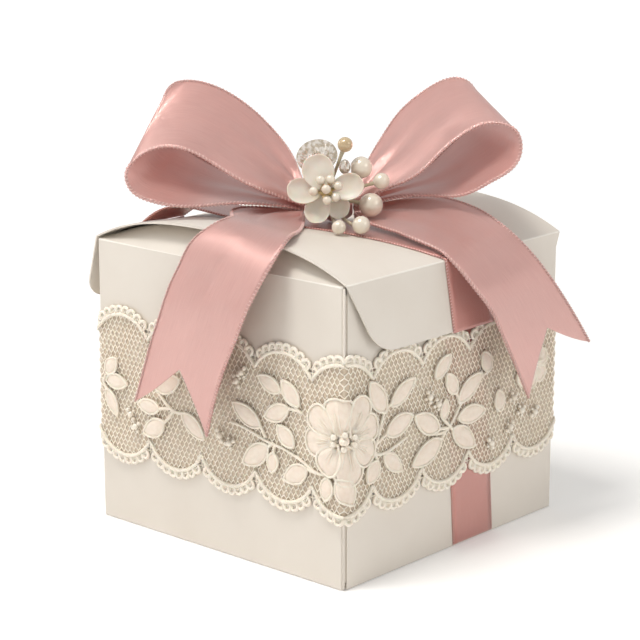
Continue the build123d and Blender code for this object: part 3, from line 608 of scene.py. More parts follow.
LOOP_GATHER = ((0, 13, 0.9, 2.2, 0.6), (1, 13, 0.8, 1.8, 2.4))
TAIL_GATHER = ((0, 12, 0.9, 2.2, 0.4),)
for node, rungs, place, gather, notch, finish in (
        ("bow_loop_left", LEFT_LOOP, from_bow, LOOP_GATHER, None, on_lid),
        ("bow_loop_right", RIGHT_LOOP, from_bow, LOOP_GATHER, None, on_lid),
        ("bow_tail_left", LEFT_TAIL, np.array, TAIL_GATHER, LEFT_NOTCH, on_lid),
        ("bow_tail_right", RIGHT_TAIL, np.array, TAIL_GATHER, RIGHT_NOTCH, over_east_fold)):
    sheet, length = sewn(rungs, place, gather=gather, notch=notch)
    made, _, _ = ribbon("satin_" + node[4:], sheet, BOW_T, WIDE_SATIN, HEM, HEM_PITCH, finish)
    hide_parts(node)

# Knot: the ribbon's own folds wrapped round the gathers.
KNOT_AT = from_bow((0, -5, 0)) + UP * (high("bow_knot")[2] - 5.0)
theta = np.linspace(0, 2 * math.pi, 97)[:-1]
share = np.linspace(-1, 1, 41)
tt, ss = np.meshgrid(theta, share, indexing="ij")
pleat = 0.42 * np.cos(3.2 * math.pi * ss + 0.5 * np.sin(tt))
pleat = pleat + 0.16 * np.cos(7.3 * math.pi * ss + tt)
radius = 4.6 * (1 - 0.3 * np.abs(ss) ** 5) + pleat * (1 - np.abs(ss) ** 8)
hanging = (np.cos(tt) < 0) & (np.sin(tt) < 0.2)
droop = np.where(hanging, 1 + 0.85 * np.cos(tt) ** 2 * (1 - ss ** 2), 1.0)
local = np.stack([7.1 * ss + 0.3 * np.sin(2 * tt) * (1 - ss ** 2),
                  radius * np.cos(tt) * droop, radius * np.sin(tt)], -1)
knot = Mesh()
turned = np.stack([from_bow(p) for p in local.reshape(-1, 3)]).reshape(local.shape) + KNOT_AT
knot_uv = np.stack([tt * 5, 8 * (ss + 1)], -1)
knot.add(turned.transpose(1, 0, 2).reshape(-1, 3), grid_faces(41, 96, wrap=True)[:, ::-1],
         knot_uv.transpose(1, 0, 2).reshape(-1, 2))
knot.faces.append(np.array([list(range(96))]))
knot.faces.append(np.array([list(range(40 * 96, 41 * 96))[::-1]]))
knot = knot.make("satin_knot", WIDE_SATIN, "lid")
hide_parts("bow_knot")

# Narrow ribbon: over the lid, over each flap, and down the walls and under the box.
NARROW_T, NARROW_W = 0.3, 19.0
Y_TOP = {1: 2.5, -1: -23.0}
Y_LOW = {1: 9.5, -1: -8.0}
across = np.linspace(-NARROW_W / 2, NARROW_W / 2, 9)


def wall_centre(side, z):
    return Y_TOP[side] + (Y_LOW[side] - Y_TOP[side]) * (TOP_Z - z) / BOX_HIGH


BOX_HIGH = TOP_Z - low("carton_walls")[2]


def strip(path, centre):
    """Grid for a narrow ribbon along a path in x and z, its middle at centre in y."""
    path, centre = np.asarray(path, float), np.asarray(centre, float)
    y = centre[:, None] + across[None, :]
    return np.stack(np.broadcast_arrays(path[:, :1], y, path[:, 1:]), -1)


def narrow(name, sheet, nodes, finish):
    made, length, _ = ribbon(name, sheet, NARROW_T, NARROW_SATIN, 0.2, 0.9, finish)
    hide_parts(*nodes)


def ride_narrow(body):
    def finish(piece):
        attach(piece, body)
    return finish


xs = np.linspace(-(FOLD_X - 1), FOLD_X - 1, 61)
middle = (Y_TOP[1] + Y_TOP[-1]) / 2 + (Y_TOP[1] - Y_TOP[-1]) / 2 / FOLD_X * xs
top = np.stack(np.broadcast_arrays(xs[:, None], middle[:, None] + across[None, :], 0.0), -1)
SLACK_X, LOFT = -14.0, 3.5          # slack ribbon west of the knot stands off the lid
slack = LOFT * np.sin(math.pi * np.clip((xs + FOLD_X) / (SLACK_X + FOLD_X), 0, 1) ** 0.6) ** 2
top[..., 2] = lid_height(top[..., 0], top[..., 1]) + CARD + 0.3 + slack[:, None]
narrow("ribbon_over_lid", top, ["ribbon_run_top"], ride_narrow("lid"))

for name, side in (("east", 1), ("west", -1)):
    reach = CARD + 0.3
    flare = FLARE[side]
    turns = np.linspace(math.radians(72), flare, 9)
    fold = [(side * (FOLD_X - 1.2), float(lid_height(FOLD_X - 1.2, 0)) + CARD + 0.32)]
    fold += [(side * (FOLD_X + reach * math.cos(turn)), FOLD_Z + reach * math.sin(turn))
             for turn in turns]
    for drop in np.linspace(1, 21.3, 20):
        fold.append((side * (FOLD_X + reach * math.cos(flare) + drop * math.sin(flare)),
                     FOLD_Z + reach * math.sin(flare) - drop * math.cos(flare)))
    fold = np.array(fold)

    def bend(piece, name=name, side=side):
        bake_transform(piece)

    narrow("ribbon_fold_" + name, strip(fold, wall_centre(side, np.minimum(fold[:, 1], TOP_Z))),
           ["ribbon_flap_" + name], bend)

half_t = NARROW_T / 2
down, under = [], []
for side in (1, -1):
    leg = [(side * (HALF + half_t), z) for z in np.linspace(TOP_Z - 22, 1.2, 24)]
    leg += [(side * (HALF - 1 + (1 + half_t) * math.cos(turn)), 1.3 + (1 + half_t) * math.sin(turn))
            for turn in np.linspace(-0.2, -math.pi / 2, 7)]
    leg = np.array(leg)
    down.append(leg if side > 0 else leg[::-1])
    y = wall_centre(side, leg[:, 1])
    under.append(y if side > 0 else y[::-1])
flat_x = np.linspace(HALF - 1, -(HALF - 1), 25)[1:-1]
flat_y = Y_LOW[-1] + (Y_LOW[1] - Y_LOW[-1]) * (flat_x + HALF) / (2 * HALF)
path = np.concatenate([down[0], np.stack([flat_x, np.full_like(flat_x, half_t)], -1), down[1]])
path[:, 1] = np.maximum(path[:, 1], 0.42)
narrow("ribbon_round_box", strip(path, np.concatenate([under[0], flat_y, under[1]])),
       ["ribbon_run_east", "ribbon_run_west", "ribbon_run_under"], ride_narrow("carton"))


# ---- lace band ---------------------------------------------------------------------------
# Places on the band: s runs round the walls from the south-east corner, positive along the
# east wall; z is height; out is the distance from the wall. Half the band is drawn, and
# the other half is the same turned by 180 degrees.
WALL = 2 * HALF - 2 * FOLD_R
CORNER_RUN = FOLD_R * math.pi / 2
LEG = WALL + CORNER_RUN
ROUND = 4 * LEG
LOBES = 18
PITCH = ROUND / LOBES
SOUTH, EAST = -LEG / 2, LEG / 2              # middles of the two walls drawn
LOW_R, LOW_Z = 12.3, 34.6                    # lower lobes: radius and height of the cord's centre
TOP_R, TOP_LOBE_Z = 12.8, 54.0
NET_OUT, CORD_OUT, MOTIF_OUT = 0.62, 0.85, 0.95


def around(s, z, out):
    """Points in the box frame for places on the band."""
    s, z, out = np.broadcast_arrays(*(np.asarray(value, float) for value in (s, z, out)))
    run = (s + CORNER_RUN / 2) % ROUND
    leg = np.floor(run / LEG)
    part = run - leg * LEG
    bend = np.minimum(part, CORNER_RUN) / CORNER_RUN * math.pi / 2 - math.pi / 2
    x = HALF - FOLD_R + (FOLD_R + out) * np.cos(bend)
    y = -(HALF - FOLD_R) + (FOLD_R + out) * np.sin(bend) + np.maximum(part - CORNER_RUN, 0)
    turn = leg * math.pi / 2
    cos, sin = np.cos(turn), np.sin(turn)
    return np.stack([x * cos - y * sin, x * sin + y * cos, z], -1)


def both_halves(draw):
    """Calls draw with the shift along s for each half of the band."""
    for shift in (0.0, ROUND / 2):
        draw(shift)


def lobe_edge(s, radius, centre, way):
    """Height of the outline cord over s; way is -1 for the lower edge."""
    beside = (s + PITCH / 2) % PITCH - PITCH / 2
    return centre + way * np.sqrt(radius ** 2 - beside ** 2)


EDGES = ((LOW_R, LOW_Z, -1), (TOP_R, TOP_LOBE_Z, 1))


def plied(mesh, path, radius, turn_every=1.5, closed=False):
    """Two-ply twisted cord along a path of points given closely."""
    path = np.asarray(path, float)
    a, b = normals_of(np.vstack([path, path[:1]]) if closed else path)
    a, b = a[:len(path)], b[:len(path)]
    run = np.concatenate([[0], np.cumsum(np.linalg.norm(np.diff(path, axis=0), axis=1))])
    twist = run * 2 * math.pi / turn_every
    for phase in (0, math.pi):
        swirl = a * np.cos(twist + phase)[:, None] + b * np.sin(twist + phase)[:, None]
        tube(mesh, path + swirl * radius * 0.52, radius * 0.62, sides=5, closed=closed)


def lace_object(name, mesh, material):
    piece = mesh.make(name, material, "carton")
    return piece


# Ground net: a honeycomb of fine threads between the two outline cords.
CELLS = 216
CELL_W, CELL_H = ROUND / CELLS, 1.62
THREAD_R = 0.15


def net_segments(first, last):
    """Ends of the net's threads on the band between two cell columns."""
    rows = np.arange(-2, 40)
    column, row = np.meshgrid(np.arange(first, last), rows, indexing="ij")
    s = (column + 0.5 * (row % 2)) * CELL_W
    z = 21.0 + row * CELL_H
    neck = CELL_H * 0.36
    base = np.stack([s, z], -1)
    top = np.stack([s, z + neck], -1)
    pieces = [(base, top), (top, np.stack([s - CELL_W / 2, z + CELL_H], -1)),
              (top, np.stack([s + CELL_W / 2, z + CELL_H], -1))]
    a = np.concatenate([p[0].reshape(-1, 2) for p in pieces])
    b = np.concatenate([p[1].reshape(-1, 2) for p in pieces])
    wobble = 0.07
    a = a + wobble * np.sin(a[:, ::-1] * 2.9 + 1.3 * a)
    b = b + wobble * np.sin(b[:, ::-1] * 2.9 + 1.3 * b)
    keep = np.ones(len(a), bool)
    for end in (a, b):
        keep &= end[:, 1] > lobe_edge(end[:, 0], LOW_R + 0.3, LOW_Z, -1)
        keep &= end[:, 1] < lobe_edge(end[:, 0], TOP_R + 0.3, TOP_LOBE_Z, 1)
    return a[keep], b[keep]


def net_piece(name, first, last):
    a, b = net_segments(first, last)
    p, q = around(a[:, 0], a[:, 1], NET_OUT), around(b[:, 0], b[:, 1], NET_OUT)
    ahead = q - p
    length = np.linalg.norm(ahead, axis=1, keepdims=True)
    ahead /= length
    p, q = p - ahead * 0.03, q + ahead * 0.03
    outward = around(a[:, 0], a[:, 1], NET_OUT + 1) - around(a[:, 0], a[:, 1], NET_OUT)
    beside = np.cross(ahead, outward)
    beside /= np.linalg.norm(beside, axis=1, keepdims=True)
    outward = np.cross(beside, ahead)
    ring = [beside * 1.25, outward * 0.8, -beside * 1.25, -outward * 0.8]
    corners = np.stack([end + r * THREAD_R for end in (p, q) for r in ring], 1)
    quads = np.array([[k, (k + 1) % 4, 4 + (k + 1) % 4, 4 + k] for k in range(4)])
    faces = (np.arange(len(p))[:, None, None] * 8 + quads[None]).reshape(-1, 4)
    mesh = Mesh()
    uv = np.stack([np.broadcast_to([0, 1, 2, 3, 0, 1, 2, 3], corners.shape[:2]) * 0.2,
                   np.broadcast_to([0, 0, 0, 0, 1, 1, 1, 1], corners.shape[:2]) * length], -1)
    mesh.add(corners.reshape(-1, 3), faces, uv.reshape(-1, 2))
    piece = lace_object(name, mesh, NET)
    return piece


# Painted shade behind the net: one closed, half-clear warm ring that softens the card and ribbon
# under it, darkening them between the threads as their shade would.
net_shade_sheet = Mesh()
around_s = np.arange(0, ROUND, PITCH / 24)
low_edge = lobe_edge(around_s, LOW_R, LOW_Z, -1)
high_edge = lobe_edge(around_s, TOP_R, TOP_LOBE_Z, 1)
levels = np.linspace(0, 1, 9)[None, :]
heights = low_edge[:, None] + (high_edge - low_edge)[:, None] * levels
ring = around(around_s[:, None], heights, 0.42)
net_shade_uv = np.stack(np.broadcast_arrays(around_s[:, None], heights), -1)
net_shade_sheet.add(ring.transpose(1, 0, 2).reshape(-1, 3), grid_faces(9, len(around_s), wrap=True)[:, ::-1],
          net_shade_uv.transpose(1, 0, 2).reshape(-1, 2))
net_shade_sheet = lace_object("lace_net_shade", net_shade_sheet, NET_SHADE)

NET_FRONT = net_piece("lace_net_front", -CELLS // 4, CELLS // 4)
net_piece("lace_net_back", CELLS // 4, 3 * CELLS // 4)
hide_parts("lace_band")

# Outline cords along both scalloped edges, with a row of picots outside each.
PICOTS = 8
PICOT_OUT = 2.75
cords, picots = Mesh(), Mesh()
for radius, centre, way in EDGES:
    steps = np.arange(0, ROUND, PITCH / 72)
    line = around(steps, lobe_edge(steps, radius, centre, way), CORD_OUT)
    plied(cords, line, 0.64, closed=True)
    inner = around(steps, lobe_edge(steps, radius - 0.95, centre - way * 0.1, way), NET_OUT + 0.1)
    spread = math.asin(PITCH / 2 / (radius + PICOT_OUT)) * 0.985

    def on_lobe(middle, angle, rise, out=0.72):
        return around(middle + (radius + rise) * np.sin(angle),
                      centre + way * (radius + rise) * np.cos(angle), out)

    for lobe in range(LOBES):
        middle = lobe * PITCH
        half_turn = spread / PICOTS
        for index in range(PICOTS):
            angle = -spread + (2 * index + 1) * half_turn
            sweep = np.linspace(-1, 1, 15)
            rise = 0.25 + (PICOT_OUT - 0.55) * (1 - np.abs(sweep) ** 2.6)
            rim = on_lobe(middle, angle + half_turn * 0.93 * np.sin(sweep * math.pi / 2), rise)
            tube(picots, rim, 0.5 + 0.06 * np.cos(sweep * 18), sides=7)
            for place in (-0.5, 0.0, 0.5):
                bar = np.array([0.2, 1.1, PICOT_OUT - 0.75])
                lean = angle + half_turn * place * np.array([1.1, 1.0, 0.8])
                tube(picots, on_lobe(middle, lean, bar, 0.6), 0.23, sides=5)
            ring = np.linspace(angle - half_turn, angle + half_turn, 5)
            tube(picots, on_lobe(middle, ring, 0.95 + 0.12 * np.cos(np.arange(5) * math.pi), 0.66),
                 0.22, sides=5)
    # A short web fills each cusp, between the cords of neighbouring lobes.
    for cusp in (np.arange(LOBES) + 0.5) * PITCH:
        foot = centre + way * math.sqrt(radius ** 2 - PITCH ** 2 / 4)
        for rise, wide in ((1.0, 0.75), (2.2, 1.5), (3.4, 2.2)):
            sway = np.linspace(-1, 1, 5)
            line = around(cusp + sway * wide, foot + way * (rise - 0.35 * sway ** 2), 0.62)
            tube(picots, line, 0.2, sides=4)
        line = around(np.full(4, cusp), foot + way * np.linspace(0.2, 4.2, 4), 0.64)
        tube(picots, line, 0.2, sides=4)
cords = lace_object("lace_cords", cords, CORD)
picots = lace_object("lace_picots", picots, CORD)

# Embroidery, at measured places in the order: along the wall from its middle, height on the
# lace, direction, length, width. A bead group or a point of a stem has the first two only.
LACE_LOW = 22.2
SPRIG_SOUTH = ((27, 33, 160, 9, 4.5), (34, 30, 135, 9, 5), (30, 28.5, 205, 10, 5),
               (19, 21, 155, 12, 5.5), (32, 17.5, 140, 8, 5), (22, 15.5, 215, 12, 6),
               (24, 14, 265, 6, 4), (37, 12, 210, 10, 5.5), (-46, 23, 0, 9, 4.5),
               (-46, 20, 300, 9, 4), (-46, 25, 50, 7, 4.5), (-23, 18, 180, 9, 4.5),
               (-21, 14, 210, 10, 5.5), (-24, 24, 25, 11, 5.5), (-13, 18.5, 325, 11, 5),
                (45, 11, 262, 7, 4.5), (49, 11.5, 288, 8.5, 5))
SPRIG_EAST = ((-33.5, 28, 125, 12, 6), (-31, 29, 30, 12, 5), (-33, 21, 15, 12, 6),
              (-37, 14, 235, 7, 5.5), (-34, 15, 320, 10, 4.5), (-9, 17, 150, 13, 6),
              (-7, 19.5, 80, 6, 3.5), (-8, 13.5, 200, 14, 6.5), (-2.5, 15.5, 325, 13, 6),
              (0, 18.5, 358, 13, 5.5), (0, 23.5, 30, 13, 5.5), (-1, 26.5, 125, 8, 4.5),
              (-11, 33, 40, 9, 4.5), (15, 30, 115, 7, 4.5), (21, 16, 100, 7, 4.5))
BEADS_SOUTH = ((-35, 14), (-33, 10.5), (3, 15), (7, 13.5), (12, 36), (10, 33))
BEADS_EAST = ((-14, 28), (-10, 25), (16, 7), (25.5, 10), (27, 19), (38, 12), (31, 14))
STEMS_SOUTH = (((7, 20), (14, 19), (21, 17), (28, 16), (36, 13.5), (41, 11.5), (47, 12.5)),
               ((19, 21), (21, 18)), ((27, 33), (31, 30.5), (35, 28)), ((30, 28.5), (34, 28.5)),
               ((22, 15.5), (24, 17)), ((24, 14), (24.5, 16.5)), ((37, 12), (41, 11.5)),
               ((-24, 24), (-21, 21), (-17, 18.5), (-13, 18.5)), ((-23, 18), (-18.5, 19)),
               ((-21, 14), (-18, 17), (-17, 19)), ((-46, 25), (-47.5, 22), (-46, 20)))
STEMS_EAST = (((-46, 16.5), (-40, 16.5), (-37.5, 19), (-35.5, 24), (-33.5, 28), (-30, 30)),
              ((-37.5, 19), (-33, 21)), ((-37, 14), (-38, 17)),
              ((-40, 16.5), (-34, 15.5), (-29, 16.5), (-24, 18)),
              ((-13, 16.5), (-7, 15.5), (-3, 17.5), (0, 21), (5, 25.5), (11, 28.5), (16, 31)),
              ((-9, 17), (-5, 16.5)), ((-8, 13.5), (-6, 15.5)), ((-2.5, 15.5), (-4, 17)),
              ((-7, 19.5), (-4, 17)), ((0, 23.5), (1.5, 22.5)), ((-1, 26.5), (1, 22.5)))
LEAF_RISE = 0.85


def placed(s0, z0, angle, x, y):
    """Local x and y of a motif, turned and set on the band: s and z."""
    turn = math.radians(angle)
    cos, sin = math.cos(turn), math.sin(turn)
    return s0 + x * cos - y * sin, z0 + x * sin + y * cos


def padded_shape(mesh, outline, halves, place, length, rise, groove=0.12, base=MOTIF_OUT, steps=22):
    """Satin-stitched motif: a low padded form with a groove down its middle and a corded outline.

    halves(a) gives its half width at a share of its length; place maps x, y to s and z."""
    a = 0.5 - 0.5 * np.cos(np.linspace(0, math.pi, steps))
    b = np.linspace(-1, 1, 13)
    aa, bb = np.meshgrid(a, b, indexing="ij")
    half = halves(aa)
    s, z = place(aa * length, bb * half)
    full = np.sqrt(np.clip(1 - bb ** 4, 0, 1)) * np.clip(np.sin(aa * math.pi), 0, 1) ** 0.35
    stitch = 0.03 * np.sin((aa * length + np.abs(bb) * half * 0.8) * 2 * math.pi / 0.62)
    out = base - 0.3 + (rise + 0.3 + stitch) * full
    out = out - groove * rise * np.exp(-(bb / 0.14) ** 2) * full
    points = around(s, z, out)
    under = around(s, z, np.full_like(out, base - 0.32))
    loop = np.concatenate([points, under[:, ::-1]], axis=1)
    uv = np.stack([aa * length + np.abs(bb) * half * 0.8, bb * half], -1)
    uv = np.concatenate([uv, uv[:, ::-1]], axis=1)
    mesh.add(loop.reshape(-1, 3), grid_faces(steps, 26, wrap=True), uv.reshape(-1, 2))
    fine = 0.5 - 0.5 * np.cos(np.linspace(0, math.pi, 60))
    rim_x = np.concatenate([fine, fine[::-1][1:-1]]) * length
    rim_y = np.concatenate([halves(fine), -halves(fine[::-1][1:-1])])
    s, z = place(rim_x, rim_y)
    plied(outline, around(s, z, base + rise * 0.45), 0.4, 1.05, closed=True)


def leaf_halves(width):
    return lambda a: width / 2 * np.clip(np.sin(np.pi * np.clip(a, 0, 1) ** 0.9), 0, 1) ** 0.72


def petal_halves(width):
    def halves(a):
        body = np.sin(np.pi / 2 * np.clip(a / 0.68, 0, 1)) ** 1.1
        tip = np.sqrt(np.clip(1 - (np.clip(a - 0.68, 0, 1) / 0.32) ** 2.4, 0, 1))
        return width / 2 * body * tip
    return halves


def bead_cluster(mesh, s0, z0, radius=1.0):
    """One larger bead ringed by smaller ones, each on the net."""
    ball(mesh, around(s0, z0, MOTIF_OUT + radius * 0.8), radius)
    for k in range(4):
        turn = 0.7 + k * 1.45 + 0.2 * math.sin(s0 + z0)
        small = radius * (0.62 + 0.14 * math.cos(3 * k + s0))
        reach = radius + small * 0.96
        spot = around(s0 + reach * math.cos(turn), z0 + reach * math.sin(turn),
                      MOTIF_OUT + small * 0.8)
        ball(mesh, spot, small, rings=8, segments=10)


leaves, flowers, beads, outlines, stems = Mesh(), Mesh(), Mesh(), Mesh(), Mesh()
pearls_on_flowers = Mesh()


def flower(s0, z0, radius, petals, centre_r, shift):
    """Embroidered flower: long rounded petals, a beaded outline and pearls at its heart."""
    for index in range(petals):
        angle = 360 / petals * index + 12
        long = radius * (1 + 0.07 * math.sin(2.3 * index))
        layer = MOTIF_OUT + 0.18 * (index % 2)

        def place(x, y, angle=angle):
            return placed(s0 + shift, z0, angle, x + radius * 0.1, y)

        padded_shape(flowers, outlines, petal_halves(radius * 0.64), place, long * 0.9, 0.95,
                     0.3, layer)
        for fan in (-0.6, -0.3, 0, 0.3, 0.6):
            s, z = place(np.linspace(0.1, 0.56 - 0.12 * abs(fan), 6) * long,
                         fan * np.linspace(0.05, 0.26, 6) * radius)
            tube(stems, around(s, z, layer + 0.98 - 0.25 * abs(fan)), 0.15, sides=4)
    ball(flowers, around(s0 + shift, z0, MOTIF_OUT), np.array([1, 1, 1.0]) * radius * 0.12)
    ball(pearls_on_flowers, around(s0 + shift, z0, MOTIF_OUT + 1.5), centre_r)
    for k in range(6):
        turn = k * math.pi / 3 + 0.5
        spot = around(s0 + shift + centre_r * 2.2 * math.cos(turn),
                      z0 + centre_r * 2.2 * math.sin(turn), MOTIF_OUT + 1.2)
        ball(pearls_on_flowers, spot, centre_r)


def draw_half(shift):
    for middle, sprig, clusters, branches in ((SOUTH, SPRIG_SOUTH, BEADS_SOUTH, STEMS_SOUTH),
                                              (EAST, SPRIG_EAST, BEADS_EAST, STEMS_EAST)):
        for along, z, angle, length, width in sprig:
            def place(x, y, along=along, z=z, angle=angle):
                bow = 0.05 * x * (length - x) / length
                return placed(middle + along + shift, LACE_LOW + z, angle, x, y + bow)
            padded_shape(leaves, outlines, leaf_halves(width), place, length, LEAF_RISE)
        for along, z in clusters:
            bead_cluster(beads, middle + along + shift, LACE_LOW + z)
        for branch in branches:
            branch = np.array(branch, float)
            knots = np.linspace(0, 1, len(branch))
            line = smooth_curve(branch, knots, np.linspace(0, 1, 16 * len(branch)))
            line = around(middle + line[:, 0] + shift, LACE_LOW + line[:, 1], MOTIF_OUT + 0.15)
            plied(stems, line, 0.5, 1.3)
    flower(0, 45, 13, 8, 0.95, shift)
    flower(EAST + 36, 50, 8, 7, 0.7, shift)


both_halves(draw_half)
leaves = lace_object("lace_leaf_stitching", leaves, STITCHED)
flowers = lace_object("lace_flower_petals", flowers, STITCHED)
outlines = lace_object("lace_outlines", outlines, CORD)
stems = lace_object("lace_stems", stems, CORD)
beads = lace_object("lace_bead_clusters", beads, LACE_PEARL)
pearls_on_flowers = lace_object("lace_flower_pearls", pearls_on_flowers, LACE_PEARL)
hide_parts("lace_leaves")
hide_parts("lace_flowers")
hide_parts("lace_beads")


# ---- flower and spray ------------------------------------------------------------------------
def lid_object(name, mesh, material, slot, *nodes, smooth=True):
    piece = mesh.make(name, material, "lid", smooth=smooth)
    if nodes:
        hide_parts(*nodes)
    return piece


TURN, TILT = math.radians(42), math.radians(20)
RIGHT = np.array([math.cos(TURN), math.sin(TURN), 0])
OUT = np.array([math.sin(TURN) * math.cos(TILT), -math.cos(TURN) * math.cos(TILT), math.sin(TILT)])
HIGH = np.cross(OUT, RIGHT)
FLOWER_AT = from_bow((-1.0, -17.0, 105.3))


def on_flower(points):
    """Flower's own x (right), y (up) and z (out of its face) to the box frame."""
    points = np.asarray(points, float)
    return FLOWER_AT + points[..., :1] * RIGHT + points[..., 1:2] * HIGH + points[..., 2:3] * OUT


# Petals: direction in the flower's face, centre distance, half length, half width.
PETALS = {"top": (110, 6.4, 5.4, 5.2), "left": (176, 6.6, 5.2, 4.2), "right": (16, 6.6, 5.0, 4.4),
          "lower_left": (243, 5.4, 4.5, 4.1), "lower_right": (312, 4.8, 4.2, 3.9)}
PETAL_STEP, PETAL_T = 0.85, 0.8
for index, (name, (angle, distance, half_length, half_width)) in enumerate(PETALS.items()):
    ring = np.linspace(0, 2 * math.pi, 73)[:-1]
    inside = np.concatenate([np.linspace(0.04, 0.93, 16), [0.965, 0.988, 1.0]])
    rim = 0.5 * np.array([1.0] * 16 + [0.86, 0.55, 0.0])
    rho = np.concatenate([inside, inside[::-1][1:]])
    skin = np.concatenate([rim, -rim[::-1][1:]]) * PETAL_T
    rr, ff = np.meshgrid(rho, ring, indexing="ij")
    x = half_length * rr * np.cos(ff)
    taper = 1 - 0.16 * (1 - np.cos(ff)) / 2 * rr
    dent = 1 - 0.045 * np.exp(-(np.angle(np.exp(1j * (ff - 0.15 * index))) / 0.25) ** 2) * rr ** 3
    x, y = x * dent, half_width * rr * np.sin(ff) * taper
    cup = 1.5 * np.clip(rr, 0, 1) ** 3.2 * (0.55 + 0.45 * np.cos(ff)) + 0.5 * (y / half_width) ** 2
    ripple = 0.16 * np.sin(3 * ff + index) * rr ** 2
    z = cup + ripple - 0.55 + skin[:, None] * (1 + 0.35 * rr ** 6)
    z = z - index * PETAL_STEP + PETAL_T / 2
    z += 0.1 * x
    turn = math.radians(angle)
    along = x + distance
    points = np.stack([along * math.cos(turn) - y * math.sin(turn),
                       along * math.sin(turn) + y * math.cos(turn), z], -1)
    mesh = Mesh()
    mesh.add(on_flower(points).reshape(-1, 3), grid_faces(len(rho), 72, wrap=True)[:, ::-1])
    mesh.faces.append(np.array([list(range(72))]))
    mesh.faces.append(np.array([list(range((len(rho) - 1) * 72, len(rho) * 72))[::-1]]))
    lid_object("petal_" + name, mesh, PETAL, "petal", "flower_petal_" + name)

STAMENS = ((0, 0.4, 3.9), (-3.7, 0, 2.6), (0.3, -2.8, 2.9), (2.8, -1.8, 2.4), (3.6, 1.6, 2.4),
           (1.3, 3.6, 2.4), (-1.6, 3.4, 2.4))
seeds, threads = Mesh(), Mesh()
for x, y, z in STAMENS:
    ball(seeds, on_flower((x, y, z)), 1.4, rings=18, segments=24)
    for lean in (-0.35, 0.3):
        foot = np.array([x * 0.2 + lean, y * 0.2 - lean, 0.3])
        head = np.array([x, y, z - 1.2])
        bend = (foot + head) / 2 + np.array([x, y, -1.4]) * 0.16
        tube(threads, on_flower(np.array([foot, bend, head])), 0.24, sides=7)
for k in range(14):
    turn = k * 2.4
    reach = 1.6 + 0.9 * (k % 3) / 2
    line = np.array([[0.4 * math.cos(turn), 0.4 * math.sin(turn), 0.5],
                     [0.7 * reach * math.cos(turn), 0.7 * reach * math.sin(turn), 1.25],
                     [reach * math.cos(turn), reach * math.sin(turn), 1.1]])
    tube(threads, on_flower(line), [0.3, 0.26, 0.34], sides=6)
lid_object("stamen_beads", seeds, PEARL, "pearl", "stamen_pearls")
lid_object("stamen_threads", threads, GOLD_THREAD, "pad", "stamen_cone")

# Wrapped base behind the petals.
BASE_R, BASE_BACK = 3.0, 5.0
back = -PETAL_STEP * (len(PETALS) - 1)
depth = np.linspace(0, BASE_BACK, 42)
base = Mesh()
tube(base, on_flower(np.stack([0 * depth, 0 * depth, back + 0.3 - depth], -1)),
     BASE_R * (0.9 - 0.03 * depth) + 0.14 * np.cos(depth * 2 * math.pi / 0.8), sides=40)
lid_object("flower_wrapping", base, WIRE, "pad", "flower_base")

# Spray pearls in the bow's frame: centre, radius and, where the wire is bent, its knee.
GOLD = (((4.7, -12, 118.9), 2.3),)
LARGE = (((9.6, -9.8, 111.6), 3.3), ((12.5, -13, 100.8), 3.6))
SMALL = (((15.6, -12, 107.9), 2.45), ((2.7, -27, 96.9), 2.1, (1.6, -18.5, 95.4)),
         ((9.3, -25.5, 97.2), 2.7, (5.6, -18, 95.4)))
STEM_R = 0.5


def wire_path(end, radius, knee=None):
    """From the flower's wrapping to the surface of a pearl."""
    target = from_bow(end)
    first = from_bow(knee) if knee else target
    away = first - FLOWER_AT
    x, y = away @ RIGHT, away @ HIGH
    reach = math.hypot(x, y)
    depth = back - BASE_BACK * (0.9 if knee else 0.6)
    root = on_flower((x / reach * BASE_R, y / reach * BASE_R, depth))
    start = first if knee else root
    stop = target - (target - start) / np.linalg.norm(target - start) * radius * 0.94
    points = [root, first, stop] if knee else [root, stop]
    return np.array(points)


def pearl(mesh, caps, centre, radius, toward):
    """Pearl with a small drilled rim where its wire enters."""
    ball(mesh, centre, radius, rings=28, segments=40)
    toward = toward / np.linalg.norm(toward)
    ends = [centre + toward * radius * share for share in (0.93, 0.99, 1.06)]
    tube(caps, ends, [radius * 0.3, radius * 0.27, STEM_R * 0.9], sides=16)


wires = Mesh()
for name, material, slot, items in (("spray_gold", GOLD_PEARL, "gold_pearl", GOLD),
                                    ("spray_large", PEARL, "pearl", LARGE),
                                    ("spray_small", PEARL, "pearl", SMALL)):
    mesh = Mesh()
    for item in items:
        path = wire_path(*item)
        if len(path) == 3:
            t = np.linspace(0, 1, 40)[:, None]
            path = (1 - t) ** 2 * path[0] + 2 * t * (1 - t) * path[1] + t ** 2 * path[2]
        else:
            path = path[0] + (path[1] - path[0]) * np.linspace(0, 1, 40)[:, None]
        run = np.linspace(0, np.linalg.norm(np.diff(path, axis=0), axis=1).sum(), len(path))
        swell = 1 + 0.55 * np.exp(-(run[-1] - run) / 1.6)
        wrap = 0.07 * np.cos(run * 2 * math.pi / 0.75)
        tube(wires, path, STEM_R * 0.95 * swell + wrap, sides=14)
        pearl(mesh, wires, from_bow(item[0]), item[1], path[-3] - from_bow(item[0]))
    node = {"spray_gold": "spray_pearl_gold", "spray_large": "spray_pearls_large",
            "spray_small": "spray_pearls_small"}[name]
    lid_object(name, mesh, material, slot, node)
lid_object("spray_wires", wires, WIRE, "wire", "spray_stems")

